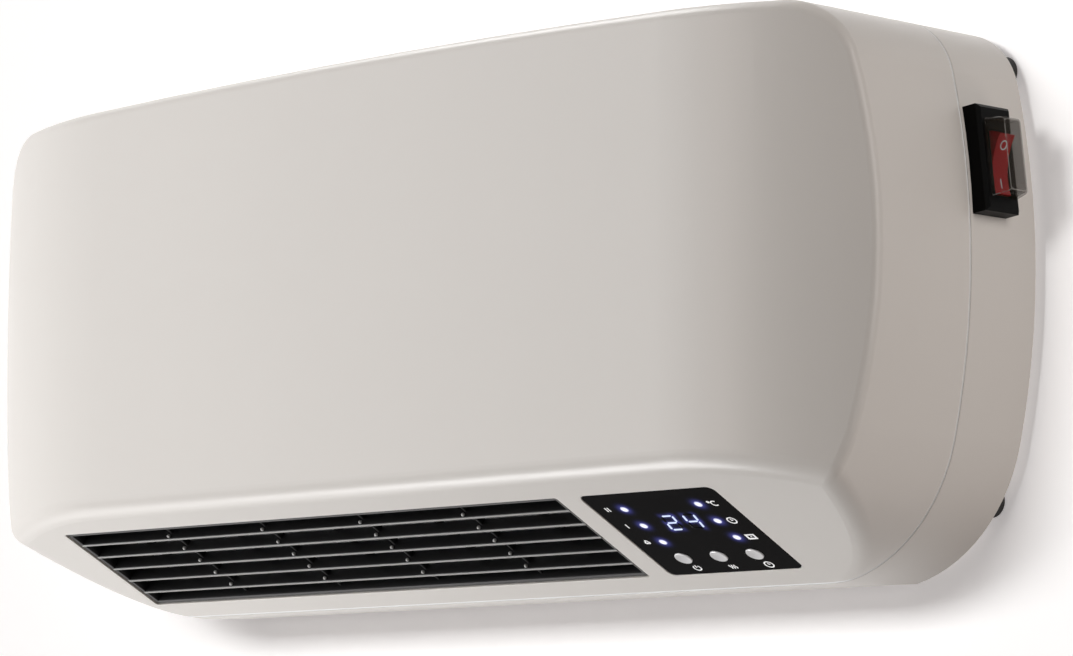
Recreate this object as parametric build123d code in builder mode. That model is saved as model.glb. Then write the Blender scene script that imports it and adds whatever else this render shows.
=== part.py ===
from build123d import *
from math import asin, atan2, cos, degrees, hypot, radians, sin, sqrt, tan
import os

# Wall-mounted ceramic fan heater, in millimetres.
# X runs along the heater, Y goes into the wall and Z is up. The wall is the plane Y = 0, and the
# origin is the centre of the wall bracket's holes, half way up the casing.

# Casing
half_length = 225.0
body_height = 192.4
body_depth = 102.5
wall_gap = 5.5
wall = 2.5
rear_shell_depth = 34.0
side_bow_radius = 264.1
bow_height = 13.1
top_drop = 4.5
lower_corner_radius = 61.0
upper_corner_radius = 25.4
end_curve_radius = 148.0
end_curve_reach = 77.0
slope_angle = 28.0
slope_overrun = 1.3
rear_rise = 1.6
slope_edge_radius = 9.0
rim_edge_radius = 4.0
seam_chamfer = 0.4
opening_edge_radius = 0.3
spare = 5.0

# Openings in the slanted face, measured up it from its bottom edge and in from the casing's ends.
# The grille fills the face between its inset and the panel's margin.
opening_low = 11.9
opening_height = 53.1
grille_inset = 48.7
panel_inset = 65.8
panel_margin = 10.4
panel_width = 61.2
grille_corner_radius = 1.0
panel_corner_radius = 3.0
fit_gap = 0.15
seat_gap = 0.1

# Air intake in the top
intake_inset = 60.0
intake_end_inset = 148.0
intake_depth = 46.0
intake_setback = 10.0
intake_rim = 4.0
intake_plate = 1.8
intake_bar = 2.4
intake_columns = 14
intake_rows = 7
filter_thickness = 1.5
filter_border = 5.0
filter_columns = 22
filter_rows = 4
filter_bar = 2.0

# Outlet grille and finger guard
grille_recess = 0.3
grille_depth = 6.0
grille_frame = 2.0
slat_count = 5
slat_thickness = 1.3
slat_depth = 5.2
rib_count = 4
rib_thickness = 1.1
rib_recess = 2.6
guard_thickness = 2.0
guard_border = 3.0
guard_bar = 1.4
guard_lip = 1.5

# Control panel, measured on the slanted face from the panel's centre line
panel_recess = 0.15
panel_edge_radius = 0.2
panel_plate = 3.6
panel_lip = 2.5
lamp_radius = 1.55
lamp_column = 17.0
lamp_spacing = 10.8
lamp_top = 43.25
lamp_proud = 0.1
digit_height = 9.6
digit_width = 4.9
digit_slant = 11.0
digit_pitch = 9.7
digit_rise = 33.1
digit_shift = 1.6
segment_width = 0.95
segment_gap = 0.35
light_gap = 0.05
button_radius = 3.28
button_spacing = 16.4
button_rise = 10.8
button_proud = 0.45
button_travel = 0.5
button_dish = 0.35
button_dish_radius = 12.0
button_collar = 1.1
button_collar_thickness = 0.8
button_gap = 0.15
plunger_radius = 1.7
tact_size = 6.0
tact_height = 2.6
tact_clearance = 0.4
tact_bore_gap = 0.2
tact_bore_depth = 2.0
plunger_reach = 2.0
board_thickness = 1.6
board_overhang = 0.3
post_radius = 2.4
post_inset = 3.1
post_end_inset = 4.3
board_screw_radius = 1.1
module_size = (22.0, 14.5)
receiver_size = (6.0, 5.0)
receiver_rise = 46.5
buzzer_radius = 6.0
buzzer_height = 7.0
buzzer_place = (15.0, -10.0)
sensor_size = (4.0, 6.0, 3.0)
sensor_place = (-25.0, -15.0)
board_screw_head = 2.0
board_screw_head_height = 1.2
board_screw_length = 4.0

# Heating element
duct_wall = 2.0
duct_gap = 0.3
heater_gap = 1.2
heater_depth = 15.0
heater_rail = 3.0
heater_end = 12.0
fin_rows = 4
core_thickness = 2.4
fin_pitch = 6.0
fin_thickness = 0.5
blade_width = 6.3
blade_thickness = 0.8
blade_length = 8.0
cutout_radius = 7.0
cutout_height = 7.0
fuse_radius = 2.0
fuse_length = 12.0

# Fan
fan_depth = 60.0
fan_radius = 23.0
fan_end_gap = 5.0
blade_count = 28
fan_blade_reach = 6.0
fan_blade_thickness = 0.9
fan_disc = 1.6
fan_sections = 5
hub_radius = 7.0
shaft_radius = 3.0
shaft_gap = 0.05
bush_radius = 5.5
bush_length = 8.0
grommet_flange = 3.0
plate_hole_radius = 8.0
scroll_gap = 4.5
scroll_bulge = 10.0
scroll_tip_turn = 125.0
tongue_gap = 3.5
tongue_thickness = 1.5
tongue_turn = -38.0
tongue_flap = (11.0, 4.5)
plate_shoulder = (8.0, 10.0)
plate_border = 3.0
plate_heel = (17.0, 1.0)
plate_toe = (4.0, 2.0)

# Motor
motor_gap = 14.0
stack_thickness = 18.0
rotor_radius = 13.0
air_gap = 0.4
stator_half_width = 28.0
stator_below = 20.0
stator_above = 46.0
window_half_width = 17.0
window_low = 18.0
leg_height = 12.0
coil_thickness = 8.0
coil_clearance = 0.3
bracket_reach = 8.0
bracket_thickness = 3.0
bracket_half_height = 7.0
motor_post_radius = 2.5
motor_post_reach = 22.5

# Back, feet and wall bracket
screw_inset_top = 35.0
screw_inset_low = 30.0
screw_drop_top = 24.2
screw_rise_low = 46.2
tube_radius = 5.0
boss_radius = 4.0
screw_head_radius = 3.5
screw_head_height = 2.2
screw_radius = 1.65
screw_length = 14.0
screw_seat = 3.0
screw_gap = 0.05
foot_radius = 5.6
foot_inset_top = 16.7
foot_drop_top = 17.9
foot_inset_low = 24.4
foot_rise_low = 28.6
foot_stem_radius = 2.0
foot_stem_gap = 0.1
foot_barb = 0.8
foot_barb_length = 2.0
bracket_width = 200.0
bracket_height = 64.0
bracket_sheet = 1.5
bracket_hole_x = 160.0
bracket_hole_z = 40.0
bracket_hole_radius = 2.6
hook_spacing = 140.0
hook_width = 20.0
hook_height = 26.0
bracket_corner_radius = 4.0
hook_lip = 6.0
hook_gap = 0.3

# Power side
cable_hole_radius = 7.0
cable_hole_inset = 75.0
cable_hole_rise = 19.0
cable_flange = 2.5
cable_bore_radius = 4.2
board_stand = 5.0
board_inset = 41.0
board_width = 46.0
board_low = -36.0
board_height = 94.0
board_boss_radius = 3.2
board_boss_inset = 5.0
lug_stand = 6.0
lug_reach = 12.0
lug_thickness = 2.5
lug_high = -8.0
lug_low = -46.0
lug_boss_radius = 4.0
relay_size = (15.0, 19.0, 15.5)
relay_spacing = 22.0
relay_drop = 19.7
capacitor_size = (18.0, 13.0, 8.0)
capacitor_drop = 26.0
converter_size = (22.0, 17.0, 24.0)
converter_rise = 25.4
glass_fuse_radius = 2.6
glass_fuse_length = 20.0
block_size = (34.0, 15.0, 16.0)
block_rise = 38.0
block_inset = 70.0

# Mains switch on the right-hand side
switch_height = 42.75
switch_setback = 10.15
switch_width = 17.3
switch_length = 36.4
switch_proud = 6.0
switch_sink = 0.8
switch_chamfer = 1.2
switch_body_width = 12.6
switch_body_length = 27.0
switch_body_depth = 19.0
rocker_width = 7.8
rocker_half = 10.8
rocker_throw = 24.0
rocker_thickness = 3.0
rocker_gap = 0.3
rocker_drop = 1.7
pivot_radius = 1.5
pivot_sink = 1.6
cover_base = (13.9, 27.0)
cover_top = (10.0, 25.8)
cover_shift = 0.8
cover_height = 6.2
cover_wall = 0.7
switch_blade_count = 2

# Places worked out from the sizes above
top_z = body_height / 2
bottom_z = -body_height / 2
rear_y = -wall_gap
front_y = rear_y - body_depth
seam_y = rear_y - rear_shell_depth
inner_rear_y = rear_y - wall
slope_end_y = seam_y + slope_overrun
slope_sin = sin(radians(slope_angle))
slope_cos = cos(radians(slope_angle))
side_centre_x = half_length - side_bow_radius
panel_left = half_length - panel_inset - panel_width
grille_left = -half_length + grille_inset
grille_right = panel_left - panel_margin
grille_width = grille_right - grille_left
panel_centre = panel_left + panel_width / 2
opening_middle = opening_low + opening_height / 2
slope_plane = Plane(
    origin=(0, slope_end_y, bottom_z), x_dir=(1, 0, 0), z_dir=(0, -slope_sin, -slope_cos)
)


def side_x(z, inset=0.0):
    """Half width of the bowed casing at a height, inset from the outer face."""
    return side_centre_x + sqrt((side_bow_radius - inset) ** 2 - (z - bow_height) ** 2)


def slope_point(x, rise, depth):
    """A point at a distance up the slanted face and a depth inward from it."""
    return Vector(
        x,
        slope_end_y - rise * slope_cos + depth * slope_sin,
        bottom_z + rise * slope_sin + depth * slope_cos,
    )


def duct_plane(x):
    """Cross-section plane of the air duct: first up the slanted face, then inward from it."""
    return Plane(
        origin=(x, slope_end_y, bottom_z), x_dir=(0, -slope_cos, slope_sin), z_dir=(-1, 0, 0)
    )


def side_plane(x):
    """Upright cross-section plane that faces right: first Y, then Z."""
    return Plane(origin=(x, 0, 0), x_dir=(0, 1, 0), z_dir=(1, 0, 0))


def write(piece, name):
    piece.part.label = name
    export_step(piece.part, f"parts/{name}.step")


os.makedirs("parts", exist_ok=True)

# Top edge of the casing: one wide arc, lower at its ends than in the middle
arch_end_x = side_x(top_z - top_drop)
arch_radius = (arch_end_x**2 + top_drop**2) / (2 * top_drop)
arch_centre_z = top_z - arch_radius


def arch_z(x, depth=0.0):
    """Height of the arched top at a place, a depth below its outer face."""
    return arch_centre_z + sqrt((arch_radius - depth) ** 2 - x**2)


def casing_outline(inset):
    """Ends of the arcs of the front view, inset from the outer face."""
    side_radius = side_bow_radius - inset
    top_radius = arch_radius - inset
    low_z = bottom_z + inset
    low_x = side_x(low_z, inset)
    span = hypot(side_centre_x, arch_centre_z - bow_height)
    along = (side_radius**2 - top_radius**2 + span**2) / (2 * span)
    across = sqrt(side_radius**2 - along**2)
    step_x = -side_centre_x / span
    step_z = (arch_centre_z - bow_height) / span
    corner_x = side_centre_x + along * step_x - across * step_z
    corner_z = bow_height + along * step_z + across * step_x
    return low_x, low_z, corner_x, corner_z


def casing_block(inset):
    """Whole casing as one block with sharp edges, inset from the outer face."""
    low_x, low_z, corner_x, corner_z = casing_outline(inset)
    edge_x = half_length - inset
    with BuildPart() as block:
        with BuildSketch(Plane.XZ.offset(wall_gap)) as elevation:
            with BuildLine():
                Line((-low_x, low_z), (low_x, low_z))
                ThreePointArc((low_x, low_z), (edge_x, bow_height), (corner_x, corner_z))
                ThreePointArc((corner_x, corner_z), (0, top_z - inset), (-corner_x, corner_z))
                ThreePointArc((-corner_x, corner_z), (-edge_x, bow_height), (-low_x, low_z))
            make_face()
            fillet(elevation.vertices().group_by(Axis.Y)[0], lower_corner_radius - inset)
            fillet(elevation.vertices().group_by(Axis.Y)[-1], upper_corner_radius - inset)
        extrude(amount=body_depth + spare)
        # Plan: flat front with ends that curve back to a crease at the sides
        curve_x = half_length - end_curve_reach
        curve_y = front_y + end_curve_radius
        radius = end_curve_radius - inset
        crease_y = curve_y - sqrt(radius**2 - (edge_x - curve_x) ** 2)
        half_turn = asin((edge_x - curve_x) / radius) / 2
        middle = (curve_x + radius * sin(half_turn), curve_y - radius * cos(half_turn))
        back_y = rear_y - inset
        flat_y = front_y + inset
        with BuildSketch(Plane.XY.offset(bottom_z - spare)):
            with BuildLine():
                Polyline((-edge_x, crease_y), (-edge_x, back_y), (edge_x, back_y), (edge_x, crease_y))
                ThreePointArc((edge_x, crease_y), middle, (curve_x, flat_y))
                Line((curve_x, flat_y), (-curve_x, flat_y))
                ThreePointArc((-curve_x, flat_y), (-middle[0], middle[1]), (-edge_x, crease_y))
            make_face()
        extrude(amount=body_height + 2 * spare, mode=Mode.INTERSECT)
        # Side view: slanted face below the flat front
        incline = tan(radians(slope_angle))
        lift = inset / slope_cos
        near_y = front_y - spare
        low_y = slope_end_y + (lift + spare) / incline
        with BuildSketch(Plane.YZ.offset(-half_length - spare)):
            with BuildLine():
                Polyline(
                    (low_y, bottom_z - spare),
                    (back_y, bottom_z - spare),
                    (back_y, top_z + spare),
                    (near_y, top_z + spare),
                    (near_y, bottom_z + lift + (slope_end_y - near_y) * incline),
                    close=True,
                )
            make_face()
        extrude(amount=2 * (half_length + spare), mode=Mode.INTERSECT)
    return block.part


def rounded_casing(inset):
    """Whole casing with its slanted face and its front rim rounded, inset from the outer face."""
    normal = slope_plane.z_dir
    sharp_casing = casing_block(inset)
    with BuildPart() as rounded:
        add(sharp_casing)
        flats = rounded.faces().filter_by(GeomType.PLANE)
        slope_face = flats.sort_by(lambda face: face.normal_at().dot(normal))[-1]
        slope_edges = slope_face.edges()
        slope_centre = slope_face.center()
        curved = rounded.edges().filter_by(
            lambda edge: edge.geom_type in (GeomType.BSPLINE, GeomType.CIRCLE)
        )
        rim = curved.filter_by(
            lambda edge: (edge @ 0.5).Y < seam_y
            and abs((edge @ 0.5 - slope_centre).dot(normal)) > 0.001
        )
        rim_points = [edge @ 0.5 for edge in rim]
        fillet(slope_edges, radius=slope_edge_radius - inset)
        rim_edges = ShapeList()
        for point in rim_points:
            nearest = rounded.edges().sort_by(lambda edge: edge.distance_to(point))[0]
            if nearest not in rim_edges:
                rim_edges.append(nearest)
        fillet(rim_edges, radius=rim_edge_radius - inset)
    return rounded.part


casing_outside = rounded_casing(0.0)
casing_inside = rounded_casing(wall)

screw_points = [
    (-half_length + screw_inset_top, top_z - screw_drop_top),
    (half_length - screw_inset_top, top_z - screw_drop_top),
    (-half_length + screw_inset_low, bottom_z + screw_rise_low),
    (half_length - screw_inset_low, bottom_z + screw_rise_low),
]
foot_points = [
    (-half_length + foot_inset_top, top_z - foot_drop_top),
    (half_length - foot_inset_top, top_z - foot_drop_top),
    (-half_length + foot_inset_low, bottom_z + foot_rise_low),
    (half_length - foot_inset_low, bottom_z + foot_rise_low),
]
hook_points = [(-hook_spacing / 2, hook_height), (hook_spacing / 2, hook_height)]
intake_left = -half_length + intake_inset
intake_width = half_length - intake_end_inset - intake_left
intake_middle_x = intake_left + intake_width / 2
intake_near_y = front_y + intake_setback
intake_middle_y = intake_near_y + intake_depth / 2

# Control board: four posts carry it behind the panel
panel_back = panel_recess + panel_plate
tact_top = panel_back + button_collar_thickness + button_travel + tact_clearance
board_depth = tact_top + tact_height
post_x = panel_width / 2 + panel_lip + post_inset
post_rise = opening_height / 2 - post_end_inset
post_points = [(x, y) for x in (-post_x, post_x) for y in (-post_rise, post_rise)]
panel_plane = Plane(
    origin=slope_point(panel_centre, opening_middle, 0), x_dir=(1, 0, 0), z_dir=slope_plane.z_dir
)


def panel_at(depth):
    """Plane parallel to the slanted face, centred on the panel, at a depth inward."""
    return panel_plane.offset(-depth)


def grille_at(depth):
    """Plane parallel to the slanted face, centred on the outlet, at a depth inward."""
    centre = slope_point(grille_left + grille_width / 2, opening_middle, depth)
    return Plane(origin=centre, x_dir=(1, 0, 0), z_dir=slope_plane.z_dir)


# Front shell
with BuildPart() as bosses:
    with BuildSketch(Plane.XZ.offset(-seam_y)):
        with Locations(*screw_points):
            Circle(boss_radius)
    extrude(amount=seam_y - front_y + spare)
    add(casing_outside, mode=Mode.INTERSECT)

with BuildPart() as front_shell:
    add(casing_outside)
    add(casing_inside, mode=Mode.SUBTRACT)
    split(bisect_by=Plane.XZ.offset(-seam_y), keep=Keep.TOP)
    add(bosses.part)
    with BuildSketch(Plane.XZ.offset(-seam_y)):
        with Locations(*screw_points):
            Circle(screw_radius + screw_gap)
    extrude(amount=screw_length, mode=Mode.SUBTRACT)
    with BuildSketch(grille_at(-spare)):
        RectangleRounded(grille_width, opening_height, grille_corner_radius)
    extrude(amount=-(spare + wall + spare), mode=Mode.SUBTRACT)
    with BuildSketch(panel_at(-spare)):
        RectangleRounded(panel_width, opening_height, panel_corner_radius)
    extrude(amount=-(spare + wall + spare), mode=Mode.SUBTRACT)
    face_edges = front_shell.edges().filter_by(
        lambda edge: all(abs(slope_plane.to_local_coords(edge @ t).Z) < 0.001 for t in (0, 0.5, 1))
    )
    opening_edges = face_edges.filter_by(
        lambda edge: opening_low - 1 < slope_plane.to_local_coords(edge @ 0.5).Y
        and slope_plane.to_local_coords(edge @ 0.5).Y < opening_low + opening_height + 1
        and grille_left - 1 < (edge @ 0.5).X < panel_left + panel_width + 1
    )
    fillet(opening_edges, radius=opening_edge_radius)
    with BuildSketch(panel_at(wall)):
        with Locations(*post_points):
            Circle(post_radius)
    extrude(amount=-(board_depth - wall))
    with BuildSketch(panel_at(board_depth)):
        with Locations(*post_points):
            Circle(board_screw_radius + screw_gap)
    extrude(amount=board_depth - wall, mode=Mode.SUBTRACT)
    with BuildSketch(Plane.XY.offset(top_z + spare)):
        with Locations((intake_middle_x, intake_middle_y)):
            Rectangle(intake_width, intake_depth)
    extrude(amount=-(spare + top_drop + 2 * wall), mode=Mode.SUBTRACT)
    intake_edges = front_shell.edges().filter_by(
        lambda edge: intake_left - 1 < (edge @ 0.5).X < intake_left + intake_width + 1
        and intake_near_y - 1 < (edge @ 0.5).Y < intake_near_y + intake_depth + 1
        and (edge @ 0.5).Z > arch_z((edge @ 0.5).X) - 0.01
    )
    fillet(intake_edges, radius=opening_edge_radius)
write(front_shell, "front_shell")

# Rear shell
switch_y = seam_y + switch_setback
switch_tilt = asin((switch_height - bow_height) / side_bow_radius)
switch_plane = Plane(
    origin=(side_x(switch_height), switch_y, switch_height),
    x_dir=(0, 1, 0),
    z_dir=(cos(switch_tilt), 0, sin(switch_tilt)),
)
cable_point = (half_length - cable_hole_inset, bottom_z + cable_hole_rise)
board_left = half_length - board_inset - board_width
power_points = [
    (board_left + board_boss_inset, board_low + board_boss_inset),
    (board_left + board_width - board_boss_inset, board_low + board_boss_inset),
    (board_left + board_boss_inset, board_low + board_height - board_boss_inset),
    (board_left + board_width - board_boss_inset, board_low + board_height - board_boss_inset),
]
plate_left = grille_left - duct_wall
plate_right = grille_right + duct_wall
lug_points = [
    (x, z)
    for x in (plate_left - lug_reach / 2, plate_right + lug_reach / 2)
    for z in (lug_high, lug_low)
]
slot_height = bracket_sheet + hook_lip + 2 * hook_gap
slot_top = bracket_sheet + hook_gap
slot_points = [(x, z + slot_top - slot_height / 2) for x, z in hook_points]

rise_turn = degrees(atan2(rear_rise, rear_shell_depth))
rise_plane = Plane(origin=(0, seam_y, bottom_z)).rotated((rise_turn, 0, 0))

with BuildPart() as rear_inside:
    add(casing_inside)
    split(bisect_by=rise_plane.offset(wall), keep=Keep.TOP)

with BuildPart() as rear_shell:
    add(casing_outside)
    split(bisect_by=Plane.XZ.offset(-seam_y), keep=Keep.BOTTOM)
    split(bisect_by=rise_plane, keep=Keep.TOP)
    seam_edges = rear_shell.edges().filter_by(
        lambda edge: all(abs((edge @ t).Y - seam_y) < 0.001 for t in (0, 0.5, 1))
    )
    chamfer(seam_edges, length=seam_chamfer)
    add(rear_inside.part, mode=Mode.SUBTRACT)
    with BuildSketch(Plane.XZ.offset(-inner_rear_y)):
        with Locations(*screw_points):
            Circle(tube_radius)
    extrude(amount=inner_rear_y - seam_y)
    with BuildSketch(Plane.XZ.offset(-inner_rear_y)):
        with Locations(*power_points):
            Circle(board_boss_radius)
    extrude(amount=board_stand)
    with BuildSketch(Plane.XZ.offset(-inner_rear_y)):
        with Locations(*lug_points):
            Circle(lug_boss_radius)
    extrude(amount=lug_stand)
    with BuildSketch(Plane.XZ.offset(wall_gap)):
        with Locations(*screw_points):
            Circle(screw_head_radius + fit_gap)
    extrude(amount=rear_y - seam_y - screw_seat, mode=Mode.SUBTRACT)
    with BuildSketch(Plane.XZ.offset(-seam_y - screw_seat)):
        with Locations(*screw_points):
            Circle(screw_radius + screw_gap)
    extrude(amount=screw_seat, mode=Mode.SUBTRACT)
    with BuildSketch(Plane.XZ.offset(-inner_rear_y)):
        with Locations(*power_points):
            Circle(board_screw_radius + screw_gap)
    extrude(amount=board_stand, mode=Mode.SUBTRACT)
    with BuildSketch(Plane.XZ.offset(-inner_rear_y)):
        with Locations(*lug_points):
            Circle(screw_radius + screw_gap)
    extrude(amount=lug_stand, mode=Mode.SUBTRACT)
    with BuildSketch(Plane.XZ.offset(wall_gap)):
        with Locations(*foot_points):
            Circle(foot_stem_radius + foot_stem_gap)
        with Locations(cable_point):
            Circle(cable_hole_radius)
        with Locations(*slot_points):
            Rectangle(hook_width + 2 * hook_gap, slot_height)
    extrude(amount=wall, mode=Mode.SUBTRACT)
    with BuildSketch(switch_plane.offset(-switch_sink)):
        Rectangle(switch_width + 2 * fit_gap, switch_length + 2 * fit_gap)
    extrude(amount=spare, mode=Mode.SUBTRACT)
    with BuildSketch(switch_plane.offset(-2 * wall)):
        Rectangle(switch_body_width + 2 * fit_gap, switch_body_length + 2 * fit_gap)
    extrude(amount=3 * wall, mode=Mode.SUBTRACT)
write(rear_shell, "rear_shell")


def arch_plate(left, right, near_y, far_y, upper, lower):
    """Plate that follows the arched top, between two depths below its outer face."""
    middle = (left + right) / 2
    with BuildPart() as plate:
        with BuildSketch(Plane.XZ.offset(-far_y)):
            with BuildLine():
                Line((left, arch_z(left, lower)), (left, arch_z(left, upper)))
                ThreePointArc(
                    (left, arch_z(left, upper)),
                    (middle, arch_z(middle, upper)),
                    (right, arch_z(right, upper)),
                )
                Line((right, arch_z(right, upper)), (right, arch_z(right, lower)))
                ThreePointArc(
                    (right, arch_z(right, lower)),
                    (middle, arch_z(middle, lower)),
                    (left, arch_z(left, lower)),
                )
            make_face()
        extrude(amount=far_y - near_y)
    return plate.part


# Intake grille: it seats in the opening from inside, on a rim below the top wall
intake_right = intake_left + intake_width
intake_far_y = intake_near_y + intake_depth
intake_back = wall + intake_plate
intake_field = arch_plate(
    intake_left + fit_gap,
    intake_right - fit_gap,
    intake_near_y + fit_gap,
    intake_far_y - fit_gap,
    seat_gap,
    intake_back,
)
intake_flange = arch_plate(
    intake_left - intake_rim,
    intake_right + intake_rim,
    intake_near_y - intake_rim,
    intake_far_y + intake_rim,
    wall + seat_gap,
    intake_back,
)
slot_pitch_x = (intake_width - intake_rim) / intake_columns
slot_pitch_y = (intake_depth - intake_rim) / intake_rows
with BuildPart() as intake_grille:
    add(intake_field)
    add(intake_flange)
    with BuildSketch(Plane.XY.offset(top_z)):
        with Locations((intake_middle_x, intake_middle_y)):
            with GridLocations(slot_pitch_x, slot_pitch_y, intake_columns, intake_rows):
                Rectangle(slot_pitch_x - intake_bar, slot_pitch_y - intake_bar)
    extrude(amount=-(top_drop + 2 * intake_back), mode=Mode.SUBTRACT)
write(intake_grille, "intake_grille")

# Dust filter: a thin bendable mesh in a border, below the intake grille
filter_sheet = arch_plate(
    intake_left - intake_rim,
    intake_right + intake_rim,
    intake_near_y - intake_rim,
    intake_far_y + intake_rim,
    intake_back + seat_gap,
    intake_back + seat_gap + filter_thickness,
)
mesh_pitch_x = (intake_width + 2 * intake_rim - 2 * filter_border) / filter_columns
mesh_pitch_y = (intake_depth + 2 * intake_rim - 2 * filter_border) / filter_rows
with BuildPart() as dust_filter:
    add(filter_sheet)
    with BuildSketch(Plane.XY.offset(top_z)):
        with Locations((intake_middle_x, intake_middle_y)):
            with GridLocations(mesh_pitch_x, mesh_pitch_y, filter_columns, filter_rows):
                Rectangle(mesh_pitch_x - filter_bar, mesh_pitch_y - filter_bar)
    extrude(amount=-(top_drop + 3 * intake_back), mode=Mode.SUBTRACT)
write(dust_filter, "dust_filter")

# Outlet grille: a frame in the slanted opening, long slats, and cross ribs set back between them
grille_outer = (grille_width - 2 * fit_gap, opening_height - 2 * fit_gap)
grille_inner = (grille_outer[0] - 2 * grille_frame, grille_outer[1] - 2 * grille_frame)
grille_flange = (grille_width + 2 * panel_lip, opening_height + 2 * panel_lip)
slat_pitch = opening_height / (slat_count + 1)
rib_pitch = grille_width / (rib_count + 1)
grille_back = grille_recess + grille_depth
with BuildPart() as outlet_grille:
    with BuildSketch(grille_at(grille_recess)):
        RectangleRounded(*grille_outer, grille_corner_radius)
        Rectangle(*grille_inner, mode=Mode.SUBTRACT)
    extrude(amount=-grille_depth)
    with BuildSketch(grille_at(wall + seat_gap)):
        Rectangle(*grille_flange)
        Rectangle(*grille_inner, mode=Mode.SUBTRACT)
    extrude(amount=-(grille_back - wall - seat_gap))
    with BuildSketch(grille_at(grille_recess)):
        with GridLocations(0, slat_pitch, 1, slat_count):
            Rectangle(grille_inner[0] + grille_frame, slat_thickness)
    extrude(amount=-slat_depth)
    with BuildSketch(grille_at(grille_recess + rib_recess)):
        with GridLocations(rib_pitch, 0, rib_count, 1):
            Rectangle(rib_thickness, grille_inner[1] + grille_frame)
    extrude(amount=-(slat_depth - rib_recess))
write(outlet_grille, "outlet_grille")

# Finger guard: upright bars half way between the ribs, and long bars behind the slats
guard_depth = grille_back + seat_gap
guard_back = guard_depth + guard_thickness
with BuildPart() as finger_guard:
    with BuildSketch(grille_at(guard_depth)):
        Rectangle(grille_width + 2 * guard_lip, opening_height + 2 * guard_lip)
        Rectangle(
            grille_width - 2 * guard_border, opening_height - 2 * guard_border, mode=Mode.SUBTRACT
        )
        with GridLocations(rib_pitch, 0, rib_count + 1, 1):
            Rectangle(guard_bar, opening_height)
        with GridLocations(0, slat_pitch, 1, slat_count):
            Rectangle(grille_width, guard_bar)
    extrude(amount=-guard_thickness)
write(finger_guard, "finger_guard")


def segment_points(centre_x, kind, grow):
    """Corners of one slanted display segment, in the panel's plane, grown on all sides."""
    half_w = digit_width / 2
    half_h = (digit_height - segment_width) / 2
    half_t = segment_width / 2 + grow
    level = {"a": half_h, "g": 0.0, "d": -half_h}
    side = {"f": (-half_w, 0, half_h), "b": (half_w, 0, half_h)}
    side["e"] = (-half_w, -half_h, 0)
    side["c"] = (half_w, -half_h, 0)
    if kind in level:
        reach = half_w - segment_gap + grow
        y = level[kind]
        corners = [(-reach, y), (half_t - reach, y + half_t), (reach - half_t, y + half_t)]
        corners += [(reach, y), (reach - half_t, y - half_t), (half_t - reach, y - half_t)]
    else:
        x, low, high = side[kind]
        low += segment_gap - grow
        high -= segment_gap - grow
        corners = [(x, low), (x + half_t, low + half_t), (x + half_t, high - half_t)]
        corners += [(x, high), (x - half_t, high - half_t), (x - half_t, low + half_t)]
    lean = tan(radians(digit_slant))
    rise = digit_rise - opening_height / 2
    return [(centre_x + x + y * lean, rise + y) for x, y in corners]


digit_centres = (digit_shift - digit_pitch / 2, digit_shift + digit_pitch / 2)
segments = [(centre, kind) for centre in digit_centres for kind in "abcdefg"]
lamp_points = [
    (x, lamp_top - row * lamp_spacing - opening_height / 2)
    for x in (-lamp_column, lamp_column)
    for row in range(3)
]
button_level = button_rise - opening_height / 2
button_points = [(place * button_spacing, button_level) for place in (-1, 0, 1)]

# Control panel: a plate in the slanted opening with a flange behind the wall
with BuildPart() as control_panel:
    with BuildSketch(panel_at(panel_recess)):
        RectangleRounded(
            panel_width - 2 * fit_gap, opening_height - 2 * fit_gap, panel_corner_radius
        )
    extrude(amount=-panel_plate)
    front_face = control_panel.faces().sort_by(Axis(panel_plane.origin, panel_plane.z_dir))[-1]
    fillet(front_face.edges(), radius=panel_edge_radius)
    with BuildSketch(panel_at(wall + seat_gap)):
        Rectangle(panel_width + 2 * panel_lip, opening_height + 2 * panel_lip)
    extrude(amount=-(panel_back - wall - seat_gap))
    with BuildSketch(panel_at(panel_recess)):
        with Locations(*lamp_points):
            Circle(lamp_radius + light_gap)
        with Locations(*button_points):
            Circle(button_radius + button_gap)
        for centre, kind in segments:
            Polygon(*segment_points(centre, kind, light_gap), align=None)
    extrude(amount=-panel_plate, mode=Mode.SUBTRACT)
write(control_panel, "control_panel")

# Lamps and digit segments: light guides that end just proud of the panel
with BuildPart() as indicator_leds:
    with BuildSketch(panel_at(panel_recess - lamp_proud)):
        with Locations(*lamp_points):
            Circle(lamp_radius)
    extrude(amount=-(board_depth - panel_recess + lamp_proud))
write(indicator_leds, "indicator_leds")

module_near = panel_back + seat_gap
with BuildPart() as display_digits:
    with BuildSketch(panel_at(panel_recess - lamp_proud)):
        for centre, kind in segments:
            Polygon(*segment_points(centre, kind, 0.0), align=None)
    extrude(amount=-(module_near - panel_recess + lamp_proud))
write(display_digits, "display_digits")

with BuildPart() as display_module:
    with BuildSketch(panel_at(module_near)):
        with Locations((digit_shift, digit_rise - opening_height / 2)):
            Rectangle(*module_size)
    extrude(amount=-(board_depth - module_near))
write(display_module, "display_module")

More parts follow.
